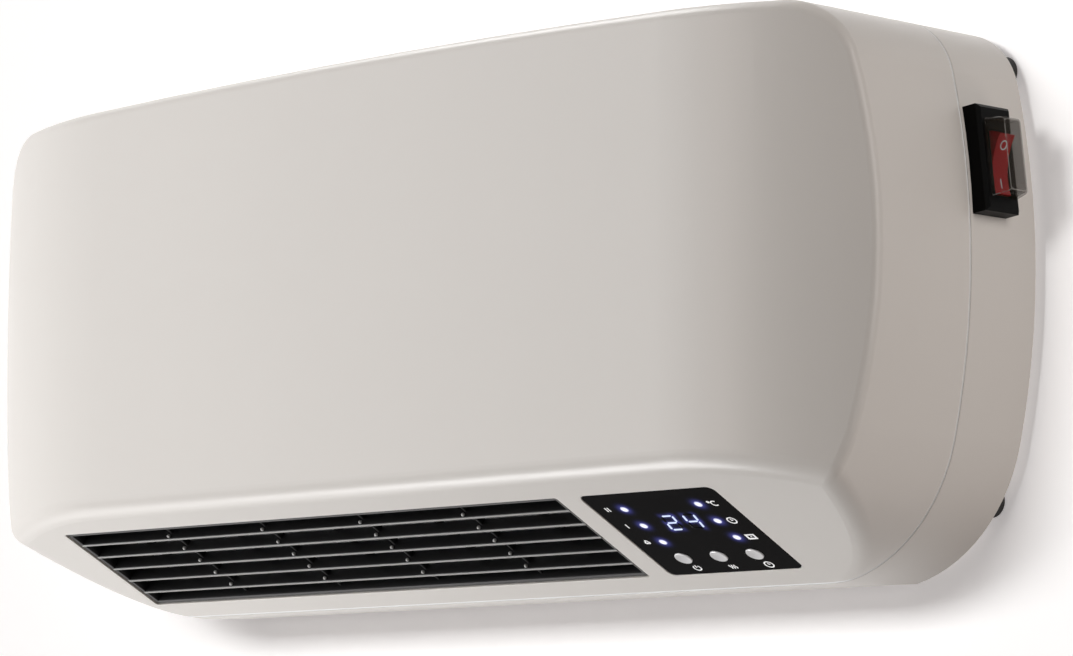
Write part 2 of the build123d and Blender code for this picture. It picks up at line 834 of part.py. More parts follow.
# Buttons: a dished cap on a stem, held behind the panel by a collar, with a plunger behind it
collar_near = panel_back + seat_gap / 2
collar_back = collar_near + button_collar_thickness
for name, place in zip(("power", "heat", "timer"), button_points):
    cap_depth = panel_recess - button_proud
    dish_centre = panel_plane.from_local_coords(
        (place[0], place[1], button_dish_radius - button_dish - cap_depth)
    )
    with BuildPart() as button:
        with BuildSketch(panel_at(cap_depth)):
            with Locations(place):
                Circle(button_radius)
        extrude(amount=-(collar_back - cap_depth))
        cap_rim = button.edges().filter_by(GeomType.CIRCLE).sort_by(Axis.Z)[0]
        fillet(cap_rim, radius=button_dish)
        with Locations(dish_centre):
            Sphere(button_dish_radius, mode=Mode.SUBTRACT)
        with BuildSketch(panel_at(collar_near)):
            with Locations(place):
                Circle(button_radius + button_collar)
        extrude(amount=-button_collar_thickness)
    write(button, f"button_{name}")
    with BuildPart() as plunger:
        with BuildSketch(panel_at(collar_back)):
            with Locations(place):
                Circle(plunger_radius)
        extrude(amount=-plunger_reach)
    write(plunger, f"plunger_{name}")

with BuildPart() as tact_switches:
    with BuildSketch(panel_at(tact_top)):
        with Locations(*button_points):
            Rectangle(tact_size, tact_size)
    extrude(amount=-tact_height)
    with BuildSketch(panel_at(tact_top)):
        with Locations(*button_points):
            Circle(plunger_radius + tact_bore_gap)
    extrude(amount=-tact_bore_depth, mode=Mode.SUBTRACT)
write(tact_switches, "tact_switches")

# Control board and what is soldered to it
board_back = board_depth + board_thickness
board_size = (
    2 * (post_x + post_radius + board_overhang),
    2 * (post_rise + post_radius + board_overhang),
)
with BuildPart() as control_board:
    with BuildSketch(panel_at(board_depth)):
        Rectangle(*board_size)
        with Locations(*post_points):
            Circle(board_screw_radius + screw_gap, mode=Mode.SUBTRACT)
    extrude(amount=-board_thickness)
write(control_board, "control_board")

with BuildPart() as control_board_screws:
    with BuildSketch(panel_at(board_back)):
        with Locations(*post_points):
            Circle(board_screw_head)
    extrude(amount=-board_screw_head_height)
    with BuildSketch(panel_at(board_back)):
        with Locations(*post_points):
            Circle(board_screw_radius)
    extrude(amount=board_screw_length + board_thickness)
write(control_board_screws, "control_board_screws")

with BuildPart() as infrared_receiver:
    with BuildSketch(panel_at(module_near)):
        with Locations((0, receiver_rise - opening_height / 2)):
            Rectangle(*receiver_size)
    extrude(amount=-(board_depth - module_near))
write(infrared_receiver, "infrared_receiver")

with BuildPart() as buzzer:
    with BuildSketch(panel_at(board_back)):
        with Locations(buzzer_place):
            Circle(buzzer_radius)
    extrude(amount=-buzzer_height)
write(buzzer, "buzzer")

with BuildPart() as room_sensor:
    with BuildSketch(panel_at(board_back)):
        with Locations(sensor_place):
            Rectangle(sensor_size[0], sensor_size[1])
    extrude(amount=-sensor_size[2])
write(room_sensor, "room_sensor")

# Ceramic heating element: fin rows and ceramic strips in a frame that fills the air duct
duct_near = guard_back + duct_gap
heater_near = duct_near + heater_gap
heater_back = heater_near + heater_depth
heater_size = (grille_width - 2 * duct_gap, opening_height - 2 * duct_gap)
heater_window = (heater_size[0] - 2 * heater_end, heater_size[1] - 2 * heater_rail)
core_count = fin_rows - 1
fin_height = (heater_window[1] - core_count * core_thickness) / fin_rows
row_pitch = fin_height + core_thickness
fin_count = int(heater_window[0] / fin_pitch)
with BuildPart() as ptc_frame:
    with BuildSketch(grille_at(heater_near)):
        Rectangle(*heater_size)
        Rectangle(*heater_window, mode=Mode.SUBTRACT)
    extrude(amount=-heater_depth)
write(ptc_frame, "ptc_frame")

with BuildPart() as ptc_fins:
    with BuildSketch(grille_at(heater_near + fin_thickness)):
        with GridLocations(0, row_pitch, 1, fin_rows):
            Rectangle(heater_window[0], fin_height)
        with GridLocations(heater_window[0] / fin_count, row_pitch, fin_count, fin_rows):
            Rectangle(
                heater_window[0] / fin_count - fin_thickness,
                fin_height - 2 * fin_thickness,
                mode=Mode.SUBTRACT,
            )
    extrude(amount=-(heater_depth - 2 * fin_thickness))
write(ptc_fins, "ptc_fins")

with BuildPart() as ptc_cores:
    with BuildSketch(grille_at(heater_near + fin_thickness)):
        with GridLocations(0, row_pitch, 1, core_count):
            Rectangle(heater_window[0], core_thickness)
    extrude(amount=-(heater_depth - 2 * fin_thickness))
write(ptc_cores, "ptc_cores")

heater_right = grille_right - duct_gap
with BuildPart() as ptc_terminals:
    with BuildSketch(duct_plane(heater_right)):
        with Locations((opening_middle, heater_near + heater_depth / 2)):
            with GridLocations(row_pitch, 0, core_count, 1):
                Rectangle(blade_thickness, blade_width)
    extrude(amount=-blade_length)
write(ptc_terminals, "ptc_terminals")

end_block_x = -grille_width / 2 + duct_gap + heater_end / 2
with BuildPart() as thermal_cutout:
    with BuildSketch(grille_at(heater_back)):
        with Locations((end_block_x + cutout_radius - heater_end / 2, 0)):
            Circle(cutout_radius)
    extrude(amount=-cutout_height)
write(thermal_cutout, "thermal_cutout")

fuse_centre = grille_at(heater_back + fuse_radius).from_local_coords(
    (end_block_x, cutout_radius + fuse_length, 0)
)
with BuildPart() as thermal_fuse:
    with BuildSketch(Plane(origin=fuse_centre, x_dir=(1, 0, 0), z_dir=slope_plane.y_dir)):
        Circle(fuse_radius)
    extrude(amount=fuse_length / 2, both=True)
write(thermal_fuse, "thermal_fuse")

# Air guide: duct walls, a scroll round the back of the fan and two end plates with ears
fan_centre = slope_point(0, opening_middle, fan_depth)
opening_high = opening_low + opening_height
duct_deep = heater_back + duct_wall


def round_fan(radius, turn):
    """A place round the fan in the duct's cross-section; 90 degrees is the deepest side."""
    angle = radians(turn)
    return (opening_middle + radius * cos(angle), fan_depth + radius * sin(angle))


scroll_belly = fan_radius + scroll_bulge
scroll_inner = [
    (opening_low, duct_deep),
    round_fan(scroll_belly, 180.0),
    round_fan(fan_radius + scroll_gap, scroll_tip_turn),
]
scroll_outer = [
    (opening_low - duct_wall, duct_deep),
    round_fan(scroll_belly + duct_wall, 180.0),
    round_fan(fan_radius + scroll_gap + duct_wall, scroll_tip_turn),
]
end_outline = [
    (opening_low - duct_wall, duct_near),
    (opening_high + duct_wall, duct_near),
    (opening_high + plate_shoulder[0], fan_depth - plate_shoulder[1]),
    (opening_high, fan_depth + fan_radius + plate_border),
    (opening_middle - plate_heel[0], fan_depth + fan_radius + scroll_gap + plate_heel[1]),
    (opening_middle - scroll_belly - plate_toe[0], fan_depth + plate_toe[1]),
]
lug_far_y = inner_rear_y - lug_stand
ear_low = lug_low - lug_boss_radius
ear_high = lug_high + lug_boss_radius
with BuildPart() as air_guide:
    with BuildSketch(duct_plane(plate_right)):
        with BuildLine():
            Polyline(
                scroll_inner[0],
                (opening_low, duct_near),
                (opening_low - duct_wall, duct_near),
                scroll_outer[0],
            )
            ThreePointArc(*scroll_outer)
            Line(scroll_outer[2], scroll_inner[2])
            ThreePointArc(*reversed(scroll_inner))
        make_face()
        with BuildLine():
            Polyline(
                (opening_high, duct_near),
                (opening_high + duct_wall, duct_near),
                (opening_high + duct_wall, duct_deep),
                (opening_high, duct_deep),
                close=True,
            )
        make_face()
    extrude(amount=plate_right - plate_left)
    for x in (plate_right, grille_left):
        with BuildSketch(duct_plane(x)):
            Polygon(*end_outline, align=None)
        extrude(amount=duct_wall)
        with BuildSketch(side_plane(x - duct_wall)):
            with Locations(((lug_far_y + fan_centre.Y) / 2, (ear_low + ear_high) / 2)):
                Rectangle(lug_far_y - fan_centre.Y, ear_high - ear_low)
        extrude(amount=duct_wall)
    for x in (plate_left - lug_reach, plate_right):
        for z in (lug_high, lug_low):
            with BuildSketch(side_plane(x)):
                with Locations((lug_far_y - lug_thickness / 2, z)):
                    Rectangle(lug_thickness, 2 * lug_boss_radius)
            extrude(amount=lug_reach)
    with BuildSketch(duct_plane(plate_right)):
        with Locations((opening_middle, fan_depth)):
            Circle(plate_hole_radius)
    extrude(amount=plate_right - plate_left, mode=Mode.SUBTRACT)
    with BuildSketch(duct_plane(plate_right)):
        with Locations((opening_middle, heater_near + heater_depth / 2)):
            Rectangle(core_count * row_pitch, 2 * blade_width)
    extrude(amount=duct_wall, mode=Mode.SUBTRACT)
    with BuildSketch(Plane.XZ.offset(-lug_far_y)):
        with Locations(*lug_points):
            Circle(screw_radius + screw_gap)
    extrude(amount=lug_thickness, mode=Mode.SUBTRACT)
write(air_guide, "air_guide")

# Vortex tongue: a folded sheet between the end plates, close to the fan
tongue_tip = round_fan(fan_radius + tongue_gap, tongue_turn)
tongue_foot = (opening_high, duct_deep + seat_gap)
tongue_end = (tongue_tip[0] + tongue_flap[0], tongue_tip[1] + tongue_flap[1])
with BuildPart() as vortex_tongue:
    with BuildSketch(duct_plane(grille_right - seat_gap)):
        Polygon(
            tongue_foot,
            tongue_tip,
            tongue_end,
            (tongue_end[0], tongue_end[1] - tongue_thickness),
            (tongue_tip[0] + tongue_thickness, tongue_tip[1] - tongue_thickness / 2),
            (tongue_foot[0] + tongue_thickness, tongue_foot[1]),
            align=None,
        )
    extrude(amount=grille_width - 2 * seat_gap)
write(vortex_tongue, "vortex_tongue")


def fan_plane(x):
    """Upright plane across the fan's axis, facing right."""
    return Plane(origin=(x, fan_centre.Y, fan_centre.Z), x_dir=(0, 1, 0), z_dir=(1, 0, 0))


# Fan: curved blades between discs, turning on a stub shaft at the left and the motor's shaft
fan_left = grille_left + fan_end_gap
fan_right = grille_right - fan_end_gap
hub_length = 4 * fan_disc
blade_tip = fan_radius - fan_disc / 4
blade_root = blade_tip - fan_blade_reach
lean_in = 4 * fan_blade_thickness
with BuildSketch() as fan_blade:
    with BuildLine():
        ThreePointArc(
            (blade_root, 0),
            ((blade_root + blade_tip) / 2, lean_in / 4),
            (blade_tip, lean_in),
        )
        Line((blade_tip, lean_in), (blade_tip - fan_blade_thickness / 2, lean_in + fan_blade_thickness))
        ThreePointArc(
            (blade_tip - fan_blade_thickness / 2, lean_in + fan_blade_thickness),
            ((blade_root + blade_tip) / 2, lean_in / 4 + fan_blade_thickness),
            (blade_root, fan_blade_thickness),
        )
        Line((blade_root, fan_blade_thickness), (blade_root, 0))
    make_face()
with BuildPart() as fan_impeller:
    with BuildSketch(fan_plane(fan_left)):
        with PolarLocations(0, blade_count):
            add(fan_blade.sketch)
    extrude(amount=fan_right - fan_left)
    for section in range(fan_sections + 1):
        disc_x = fan_left + section * (fan_right - fan_left - fan_disc) / fan_sections
        with BuildSketch(fan_plane(disc_x)):
            Circle(fan_radius)
            if 0 < section < fan_sections:
                Circle(blade_root - fan_disc, mode=Mode.SUBTRACT)
        extrude(amount=fan_disc)
    with BuildSketch(fan_plane(fan_left)):
        Circle(hub_radius)
    extrude(amount=hub_length)
    with BuildSketch(fan_plane(fan_right)):
        Circle(hub_radius)
    extrude(amount=-hub_length)
    with BuildSketch(fan_plane(fan_left)):
        Circle(shaft_radius + shaft_gap)
    extrude(amount=hub_length, mode=Mode.SUBTRACT)
    with BuildSketch(fan_plane(fan_right)):
        Circle(shaft_radius + shaft_gap)
    extrude(amount=-hub_length, mode=Mode.SUBTRACT)
write(fan_impeller, "fan_impeller")

motor_left = plate_right + motor_gap
motor_right = motor_left + stack_thickness
bracket_right = motor_right + bracket_reach + bracket_thickness
stub_left = plate_left - grommet_flange - shaft_radius / 2
with BuildPart() as fan_shaft:
    with BuildSketch(fan_plane(stub_left)):
        Circle(shaft_radius)
    extrude(amount=fan_left + hub_length - stub_left)
    with BuildSketch(fan_plane(fan_right - hub_length)):
        Circle(shaft_radius)
    extrude(amount=bracket_right + shaft_radius / 2 - fan_right + hub_length)
write(fan_shaft, "fan_shaft")

# Left bearing: a bush in a rubber grommet in the end plate
with BuildPart() as bearing_grommet:
    with BuildSketch(fan_plane(plate_left - grommet_flange)):
        Circle(plate_hole_radius + grommet_flange)
    extrude(amount=grommet_flange)
    with BuildSketch(fan_plane(plate_left)):
        Circle(plate_hole_radius - screw_gap)
    extrude(amount=duct_wall)
    with BuildSketch(fan_plane(grille_left)):
        Circle(plate_hole_radius + grommet_flange)
    extrude(amount=grommet_flange)
    with BuildSketch(fan_plane(plate_left - grommet_flange)):
        Circle(bush_radius + screw_gap)
    extrude(amount=2 * grommet_flange + duct_wall, mode=Mode.SUBTRACT)
write(bearing_grommet, "bearing_grommet")

with BuildPart() as bearing_bush:
    with BuildSketch(fan_plane(plate_left - grommet_flange)):
        Circle(bush_radius)
        Circle(shaft_radius + shaft_gap, mode=Mode.SUBTRACT)
    extrude(amount=bush_length)
write(bearing_bush, "bearing_bush")

# Motor: laminated stator with one coil, rotor on the shaft, and a bracket at each end
leg_low = stator_above - leg_height
with BuildPart() as motor_stator:
    with BuildSketch(fan_plane(motor_left)):
        with Locations((0, (stator_above - stator_below) / 2)):
            Rectangle(2 * stator_half_width, stator_above + stator_below)
        Circle(rotor_radius + air_gap, mode=Mode.SUBTRACT)
        with Locations((0, (window_low + leg_low) / 2)):
            Rectangle(2 * window_half_width, leg_low - window_low, mode=Mode.SUBTRACT)
    extrude(amount=stack_thickness)
write(motor_stator, "motor_stator")

coil_middle = (
    (motor_left + motor_right) / 2,
    fan_centre.Z + (stator_above + leg_low) / 2,
)
coil_half = window_half_width - coil_clearance
with BuildPart() as motor_coil:
    with BuildSketch(Plane.XZ.offset(-fan_centre.Y - coil_half)):
        with Locations(coil_middle):
            RectangleRounded(
                stack_thickness + 2 * (coil_thickness + coil_clearance),
                leg_height + 2 * (coil_thickness + coil_clearance),
                coil_thickness / 2,
            )
            Rectangle(
                stack_thickness + 2 * coil_clearance,
                leg_height + 2 * coil_clearance,
                mode=Mode.SUBTRACT,
            )
    extrude(amount=2 * coil_half)
write(motor_coil, "motor_coil")

with BuildPart() as motor_rotor:
    with BuildSketch(fan_plane(motor_left)):
        Circle(rotor_radius)
        Circle(shaft_radius + shaft_gap, mode=Mode.SUBTRACT)
    extrude(amount=stack_thickness)
write(motor_rotor, "motor_rotor")

bracket_size = (2 * stator_half_width, 2 * bracket_half_height)
for name, bar_x, post_near, post_far in (
    ("inner", plate_right, plate_right + bracket_thickness, motor_left),
    ("outer", bracket_right - bracket_thickness, motor_right, bracket_right - bracket_thickness),
):
    with BuildPart() as motor_bracket:
        with BuildSketch(fan_plane(bar_x)):
            Rectangle(*bracket_size)
        extrude(amount=bracket_thickness)
        with BuildSketch(fan_plane(post_near)):
            with Locations((-motor_post_reach, 0), (motor_post_reach, 0)):
                Circle(motor_post_radius)
        extrude(amount=post_far - post_near)
        with BuildSketch(fan_plane(bar_x)):
            Circle(shaft_radius + shaft_gap)
        extrude(amount=bracket_thickness, mode=Mode.SUBTRACT)
    write(motor_bracket, f"motor_bracket_{name}")

with BuildPart() as guide_screws:
    with BuildSketch(Plane.XZ.offset(-lug_far_y + lug_thickness)):
        with Locations(*lug_points):
            Circle(screw_head_radius)
    extrude(amount=screw_head_height)
    with BuildSketch(Plane.XZ.offset(-lug_far_y + lug_thickness)):
        with Locations(*lug_points):
            Circle(screw_radius)
    extrude(amount=-(lug_thickness + lug_stand - screw_gap))
write(guide_screws, "guide_screws")

# Power board on four bosses of the back, with its parts
power_far_y = inner_rear_y - board_stand
power_near_y = power_far_y - board_thickness
power_middle = (board_left + board_width / 2, board_low + board_height / 2)
with BuildPart() as power_board:
    with BuildSketch(Plane.XZ.offset(-power_far_y)):
        with Locations(power_middle):
            Rectangle(board_width, board_height)
        with Locations(*power_points):
            Circle(board_screw_radius + screw_gap, mode=Mode.SUBTRACT)
    extrude(amount=board_thickness)
write(power_board, "power_board")

with BuildPart() as power_board_screws:
    with BuildSketch(Plane.XZ.offset(-power_near_y)):
        with Locations(*power_points):
            Circle(board_screw_head)
    extrude(amount=board_screw_head_height)
    with BuildSketch(Plane.XZ.offset(-power_near_y)):
        with Locations(*power_points):
            Circle(board_screw_radius)
    extrude(amount=-(board_thickness + board_screw_length))
write(power_board_screws, "power_board_screws")

relay_level = board_low + board_height - relay_drop
with BuildPart() as relays:
    with BuildSketch(Plane.XZ.offset(-power_near_y)):
        with Locations((power_middle[0], relay_level)):
            with GridLocations(relay_spacing, 0, 2, 1):
                Rectangle(relay_size[0], relay_size[1])
    extrude(amount=relay_size[2])
write(relays, "relays")

with BuildPart() as filter_capacitor:
    with BuildSketch(Plane.XZ.offset(-power_near_y)):
        with Locations((power_middle[0] - relay_spacing / 2, relay_level - capacitor_drop)):
            Rectangle(capacitor_size[0], capacitor_size[2])
    extrude(amount=capacitor_size[1])
write(filter_capacitor, "filter_capacitor")

converter_level = board_low + converter_rise
with BuildPart() as power_converter:
    with BuildSketch(Plane.XZ.offset(-power_near_y)):
        with Locations((power_middle[0], converter_level)):
            Rectangle(converter_size[0], converter_size[2])
    extrude(amount=converter_size[1])
write(power_converter, "power_converter")

with BuildPart() as mains_fuse:
    with BuildSketch(Plane.YZ.offset(power_middle[0])):
        with Locations((power_near_y - glass_fuse_radius, board_low + 2 * glass_fuse_radius)):
            Circle(glass_fuse_radius)
    extrude(amount=glass_fuse_length / 2, both=True)
write(mains_fuse, "mains_fuse")

block_middle = (half_length - block_inset, bottom_z + block_rise)
with BuildPart() as terminal_block:
    with BuildSketch(Plane.XZ.offset(-inner_rear_y)):
        with Locations(block_middle):
            Rectangle(block_size[0], block_size[1])
    extrude(amount=block_size[2])
    with BuildSketch(Plane.XZ.offset(-inner_rear_y + block_size[2])):
        with Locations(block_middle):
            with GridLocations(block_size[0] / 3, 0, 3, 1):
                Circle(screw_head_radius)
    extrude(amount=-screw_seat, mode=Mode.SUBTRACT)
write(terminal_block, "terminal_block")

with BuildPart() as cable_grommet:
    for far_y, radius, length in (
        (rear_y + cable_flange, cable_hole_radius + cable_flange, cable_flange),
        (rear_y, cable_hole_radius - screw_gap, wall),
        (inner_rear_y, cable_hole_radius + cable_flange, cable_flange),
    ):
        with BuildSketch(Plane.XZ.offset(-far_y)):
            with Locations(cable_point):
                Circle(radius)
                Circle(cable_bore_radius, mode=Mode.SUBTRACT)
        extrude(amount=length)
write(cable_grommet, "cable_grommet")

# Mains switch: a black box on the rear shell's side, tilted with it, with a rocker and a cover
cavity_half = rocker_half + rocker_gap + fit_gap
pivot_out = switch_proud - pivot_sink
pivot = switch_plane.from_local_coords((0, -rocker_drop, pivot_out))
with BuildPart() as switch_housing:
    with BuildSketch(switch_plane.offset(-switch_sink)):
        Rectangle(switch_width, switch_length)
    extrude(amount=switch_sink + switch_proud)
    outward = Axis(switch_plane.origin, switch_plane.z_dir)
    chamfer(switch_housing.faces().sort_by(outward)[-1].edges(), length=switch_chamfer)
    with BuildSketch(switch_plane.offset(-switch_sink)):
        Rectangle(switch_body_width, switch_body_length)
    extrude(amount=-switch_body_depth)
    with BuildSketch(switch_plane.offset(switch_proud)):
        with Locations((0, -rocker_drop)):
            Rectangle(rocker_width + 2 * rocker_gap, 2 * cavity_half)
    extrude(amount=-(pivot_sink + rocker_half / 2), mode=Mode.SUBTRACT)
    with BuildSketch(Plane(origin=pivot, x_dir=(0, 0, 1), z_dir=(0, 1, 0))):
        Circle(pivot_radius + shaft_gap)
    extrude(
        amount=rocker_width / 2 + rocker_gap + pivot_radius, both=True, mode=Mode.SUBTRACT
    )
write(switch_housing, "switch_housing")

# The rocker rests switched on: its lower end is pressed in and its upper end stands out
rocker_turn = radians(rocker_throw / 2)
rocker_up = switch_plane.y_dir * cos(rocker_turn) + switch_plane.z_dir * sin(rocker_turn)
rocker_plane = Plane(origin=pivot, x_dir=rocker_up, z_dir=(0, 1, 0))
face_middle = pivot_sink
face_end = face_middle + rocker_half * tan(rocker_turn)
end_high = sqrt(rocker_half**2 - face_end**2)
end_low = sqrt(rocker_half**2 - rocker_thickness**2 / 4)
with BuildPart() as switch_rocker:
    with BuildSketch(rocker_plane):
        with BuildLine():
            ThreePointArc((-end_high, face_end), (0, face_middle), (end_high, face_end))
            ThreePointArc((end_high, face_end), (rocker_half, 0), (end_low, -rocker_thickness / 2))
            Polyline(
                (end_low, -rocker_thickness / 2),
                (0, -rocker_thickness),
                (-end_low, -rocker_thickness / 2),
            )
            ThreePointArc((-end_low, -rocker_thickness / 2), (-rocker_half, 0), (-end_high, face_end))
        make_face()
    extrude(amount=rocker_width / 2, both=True)
    with BuildSketch(rocker_plane):
        Circle(pivot_radius)
    extrude(amount=rocker_width / 2 + rocker_gap + pivot_radius - fit_gap, both=True)
write(switch_rocker, "switch_rocker")

with BuildPart() as switch_cover:
    with BuildSketch(switch_plane.offset(switch_proud)):
        with Locations((cover_shift, 0)):
            Rectangle(*cover_base)
    with BuildSketch(switch_plane.offset(switch_proud + cover_height)):
        with Locations((cover_shift, 0)):
            Rectangle(*cover_top)
    loft()
    fillet(switch_cover.faces().sort_by(outward)[-1].edges(), radius=cover_wall)
    with BuildSketch(switch_plane.offset(switch_proud)):
        with Locations((cover_shift, 0)):
            Rectangle(cover_base[0] - 2 * cover_wall, cover_base[1] - 2 * cover_wall)
    with BuildSketch(switch_plane.offset(switch_proud + cover_height - cover_wall)):
        with Locations((cover_shift, 0)):
            Rectangle(cover_top[0] - 2 * cover_wall, cover_top[1] - 2 * cover_wall)
    loft(mode=Mode.SUBTRACT)
write(switch_cover, "switch_cover")

with BuildPart() as switch_terminals:
    with BuildSketch(switch_plane.offset(-switch_sink - switch_body_depth)):
        with GridLocations(
            switch_body_width / 2, switch_body_length / 2, switch_blade_count, switch_blade_count
        ):
            Rectangle(blade_thickness, blade_width)
    extrude(amount=-blade_length)
write(switch_terminals, "switch_terminals")

# Shell screws from behind, rubber feet, and the wall bracket with its two hooks
with BuildPart() as shell_screws:
    with BuildSketch(Plane.XZ.offset(-seam_y - screw_seat)):
        with Locations(*screw_points):
            Circle(screw_head_radius)
    extrude(amount=-screw_head_height)
    with BuildSketch(Plane.XZ.offset(-seam_y - screw_seat)):
        with Locations(*screw_points):
            Circle(screw_radius)
    extrude(amount=screw_seat + screw_length - screw_radius)
write(shell_screws, "shell_screws")

with BuildPart() as wall_feet:
    with BuildSketch(Plane.XZ):
        with Locations(*foot_points):
            Circle(foot_radius)
    extrude(amount=wall_gap)
    with BuildSketch(Plane.XZ.offset(wall_gap)):
        with Locations(*foot_points):
            Circle(foot_stem_radius)
    extrude(amount=wall + foot_barb_length)
    with BuildSketch(Plane.XZ.offset(-inner_rear_y)):
        with Locations(*foot_points):
            Circle(foot_stem_radius + foot_barb)
    extrude(amount=foot_barb_length)
write(wall_feet, "wall_feet")

hook_far = -inner_rear_y + hook_gap
with BuildPart() as wall_bracket:
    with BuildSketch(Plane.XZ):
        RectangleRounded(bracket_width, bracket_height, bracket_corner_radius)
        with GridLocations(bracket_hole_x, bracket_hole_z, 2, 2):
            Circle(bracket_hole_radius, mode=Mode.SUBTRACT)
    extrude(amount=bracket_sheet)
    for x, z in hook_points:
        with BuildSketch(Plane.XZ):
            with Locations((x, z + bracket_sheet / 2)):
                Rectangle(hook_width, bracket_sheet)
        extrude(amount=hook_far + bracket_sheet)
        with BuildSketch(Plane.XZ.offset(hook_far)):
            with Locations((x, z + (bracket_sheet + hook_lip) / 2)):
                Rectangle(hook_width, bracket_sheet + hook_lip)
        extrude(amount=bracket_sheet)
write(wall_bracket, "wall_bracket")
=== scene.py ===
# %% [markdown]
# # Dressing a wall-mounted fan heater
#
# The object is a ceramic fan heater that hangs on a wall. Its casing is one bowed, pale, moulded
# form. A slanted face along its lower front edge holds a black outlet grille and a small glossy
# control panel, and a red rocker under a smoky cover sits on its right-hand side.
#
# The solids come from a CAD model, which is loaded here as a fixed frame. This lesson gives each
# solid its finish and makes the parts that need softer edges, printed marks or light. Everything
# is in metres: X runs along the heater, Y into the wall, and Z up.

import math

import bmesh
import bpy
from mathutils import Matrix, Vector


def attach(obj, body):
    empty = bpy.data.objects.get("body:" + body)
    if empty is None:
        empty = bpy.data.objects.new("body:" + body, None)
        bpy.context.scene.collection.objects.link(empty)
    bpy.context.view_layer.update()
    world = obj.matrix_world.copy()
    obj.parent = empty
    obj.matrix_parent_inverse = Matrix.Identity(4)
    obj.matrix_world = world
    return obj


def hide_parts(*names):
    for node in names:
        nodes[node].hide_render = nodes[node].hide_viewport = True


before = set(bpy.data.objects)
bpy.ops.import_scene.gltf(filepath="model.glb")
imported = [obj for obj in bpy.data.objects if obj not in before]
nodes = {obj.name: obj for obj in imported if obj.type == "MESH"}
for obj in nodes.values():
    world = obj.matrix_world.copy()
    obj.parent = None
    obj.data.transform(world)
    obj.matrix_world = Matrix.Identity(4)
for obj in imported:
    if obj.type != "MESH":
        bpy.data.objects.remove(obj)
bpy.context.view_layer.update()
MM = 0.001

# %% [markdown]
# ## The camera
#
# The picture is taken from below and from the right: the camera stands 45 degrees round from the
# front and looks up by 6.6 degrees through a long lens, which keeps the far end almost as tall as
# the near one. A long lens and the right distance matter more than any other setting, because
# they fix how fast the parallel edges close on each other.



# %% Camera
def add(thing):
    """Puts an object into the scene."""
    bpy.context.scene.collection.objects.link(thing)
    return thing


turn, lift = math.radians(44.788), math.radians(6.589)
gaze = Vector((-math.sin(turn) * math.cos(lift), math.cos(turn) * math.cos(lift), math.sin(lift)))
camera_data = bpy.data.cameras.new("camera")
camera_data.sensor_width = 36.0
camera_data.lens = 147.72
camera_data.clip_start = 0.05
camera_data.clip_end = 60.0
camera = add(bpy.data.objects.new("camera", camera_data))
camera.location = (1.13843, -1.16353, -0.18020)
camera.rotation_euler = gaze.to_track_quat("-Z", "Y").to_euler()
bpy.context.scene.camera = camera
print("camera looks along", [round(v, 3) for v in gaze])

# %% [markdown]
# ## Writing materials as expressions
#
# A material is a small program, and nodes are its words. Adding each one by hand hides the maths,
# so a wrapper round a socket overloads the usual operators: `0.4 + grain * 0.1` adds its two Math
# nodes by itself. Everything that isn't arithmetic goes through one method, `node`, which takes
# the node's type, its settings and its inputs.


# %% Sockets that can be added and multiplied
def arithmetic(operation, swapped=False):
    """One operator for wires: each use of it adds a Math node."""

    def apply(self, other):
        first, second = (other, self) if swapped else (self, other)
        return self.sheet.maths(operation, first, second)

    return apply


class Wire:
    """An output socket that can be used in arithmetic."""

    def __init__(self, sheet, socket):
        self.sheet = sheet
        self.socket = socket

    def __getitem__(self, name):
        return Wire(self.sheet, self.socket.node.outputs[name])

    __add__ = arithmetic("ADD")
    __radd__ = arithmetic("ADD", swapped=True)
    __sub__ = arithmetic("SUBTRACT")
    __rsub__ = arithmetic("SUBTRACT", swapped=True)
    __mul__ = arithmetic("MULTIPLY")
    __rmul__ = arithmetic("MULTIPLY", swapped=True)
    __truediv__ = arithmetic("DIVIDE")
    __rtruediv__ = arithmetic("DIVIDE", swapped=True)
    __pow__ = arithmetic("POWER")
    __rpow__ = arithmetic("POWER", swapped=True)


print("wires ready")

# %% [markdown]
# `Sheet` writes a node tree one line at a time. A colour or a vector would turn grey in a Math
# node, so those go through Mix and Vector Math, each with a short method of its own.


# %% Node trees
class Sheet:
    """A node tree that is written line by line."""

    def __init__(self, tree):
        self.tree = tree
        tree.nodes.clear()

    def node(self, kind, settings=None, **sockets):
        """Adds a node. Settings come first, then the sockets, by name or as _0, _1 by place."""
        made = self.tree.nodes.new(kind)
        for name, value in (settings or {}).items():
            if name == "stops":
                ramp = made.color_ramp.elements
                while len(ramp) > 1:
                    ramp.remove(ramp[-1])
                for index, (place, colour) in enumerate(value):
                    stop = ramp[0] if index == 0 else ramp.new(place)
                    stop.position = place
                    stop.color = (*colour, 1.0)
            else:
                setattr(made, name, value)
        for name, value in sockets.items():
            plain = name.replace("_", " ")
            target = made.inputs[int(name[1:])] if name[0] == "_" else made.inputs[plain]
            if isinstance(value, Wire):
                self.tree.links.new(value.socket, target)
            else:
                target.default_value = value
        return Wire(self, made.outputs[0]) if made.outputs else made

    def maths(self, operation, *values):
        """A Math node for one, two or three numbers."""
        return self.node(
            "ShaderNodeMath",
            {"operation": operation},
            **{f"_{place}": value for place, value in enumerate(values)},
        )

    def vector(self, operation, first, second):
        """Vector Math. DOT_PRODUCT and DISTANCE give a number, the rest a vector."""
        made = self.node("ShaderNodeVectorMath", {"operation": operation}, _0=first, _1=second)
        return made["Value"] if operation in ("DOT_PRODUCT", "DISTANCE") else made

    def mix(self, factor, first, second):
        """Blends two colours, each given as red, green and blue."""
        made = self.node(
            "ShaderNodeMix",
            {"data_type": "RGBA"},
            Factor=factor,
            _6=(*first, 1.0),
            _7=(*second, 1.0),
        )
        return Wire(self, made.socket.node.outputs[2])


print("sheets ready")

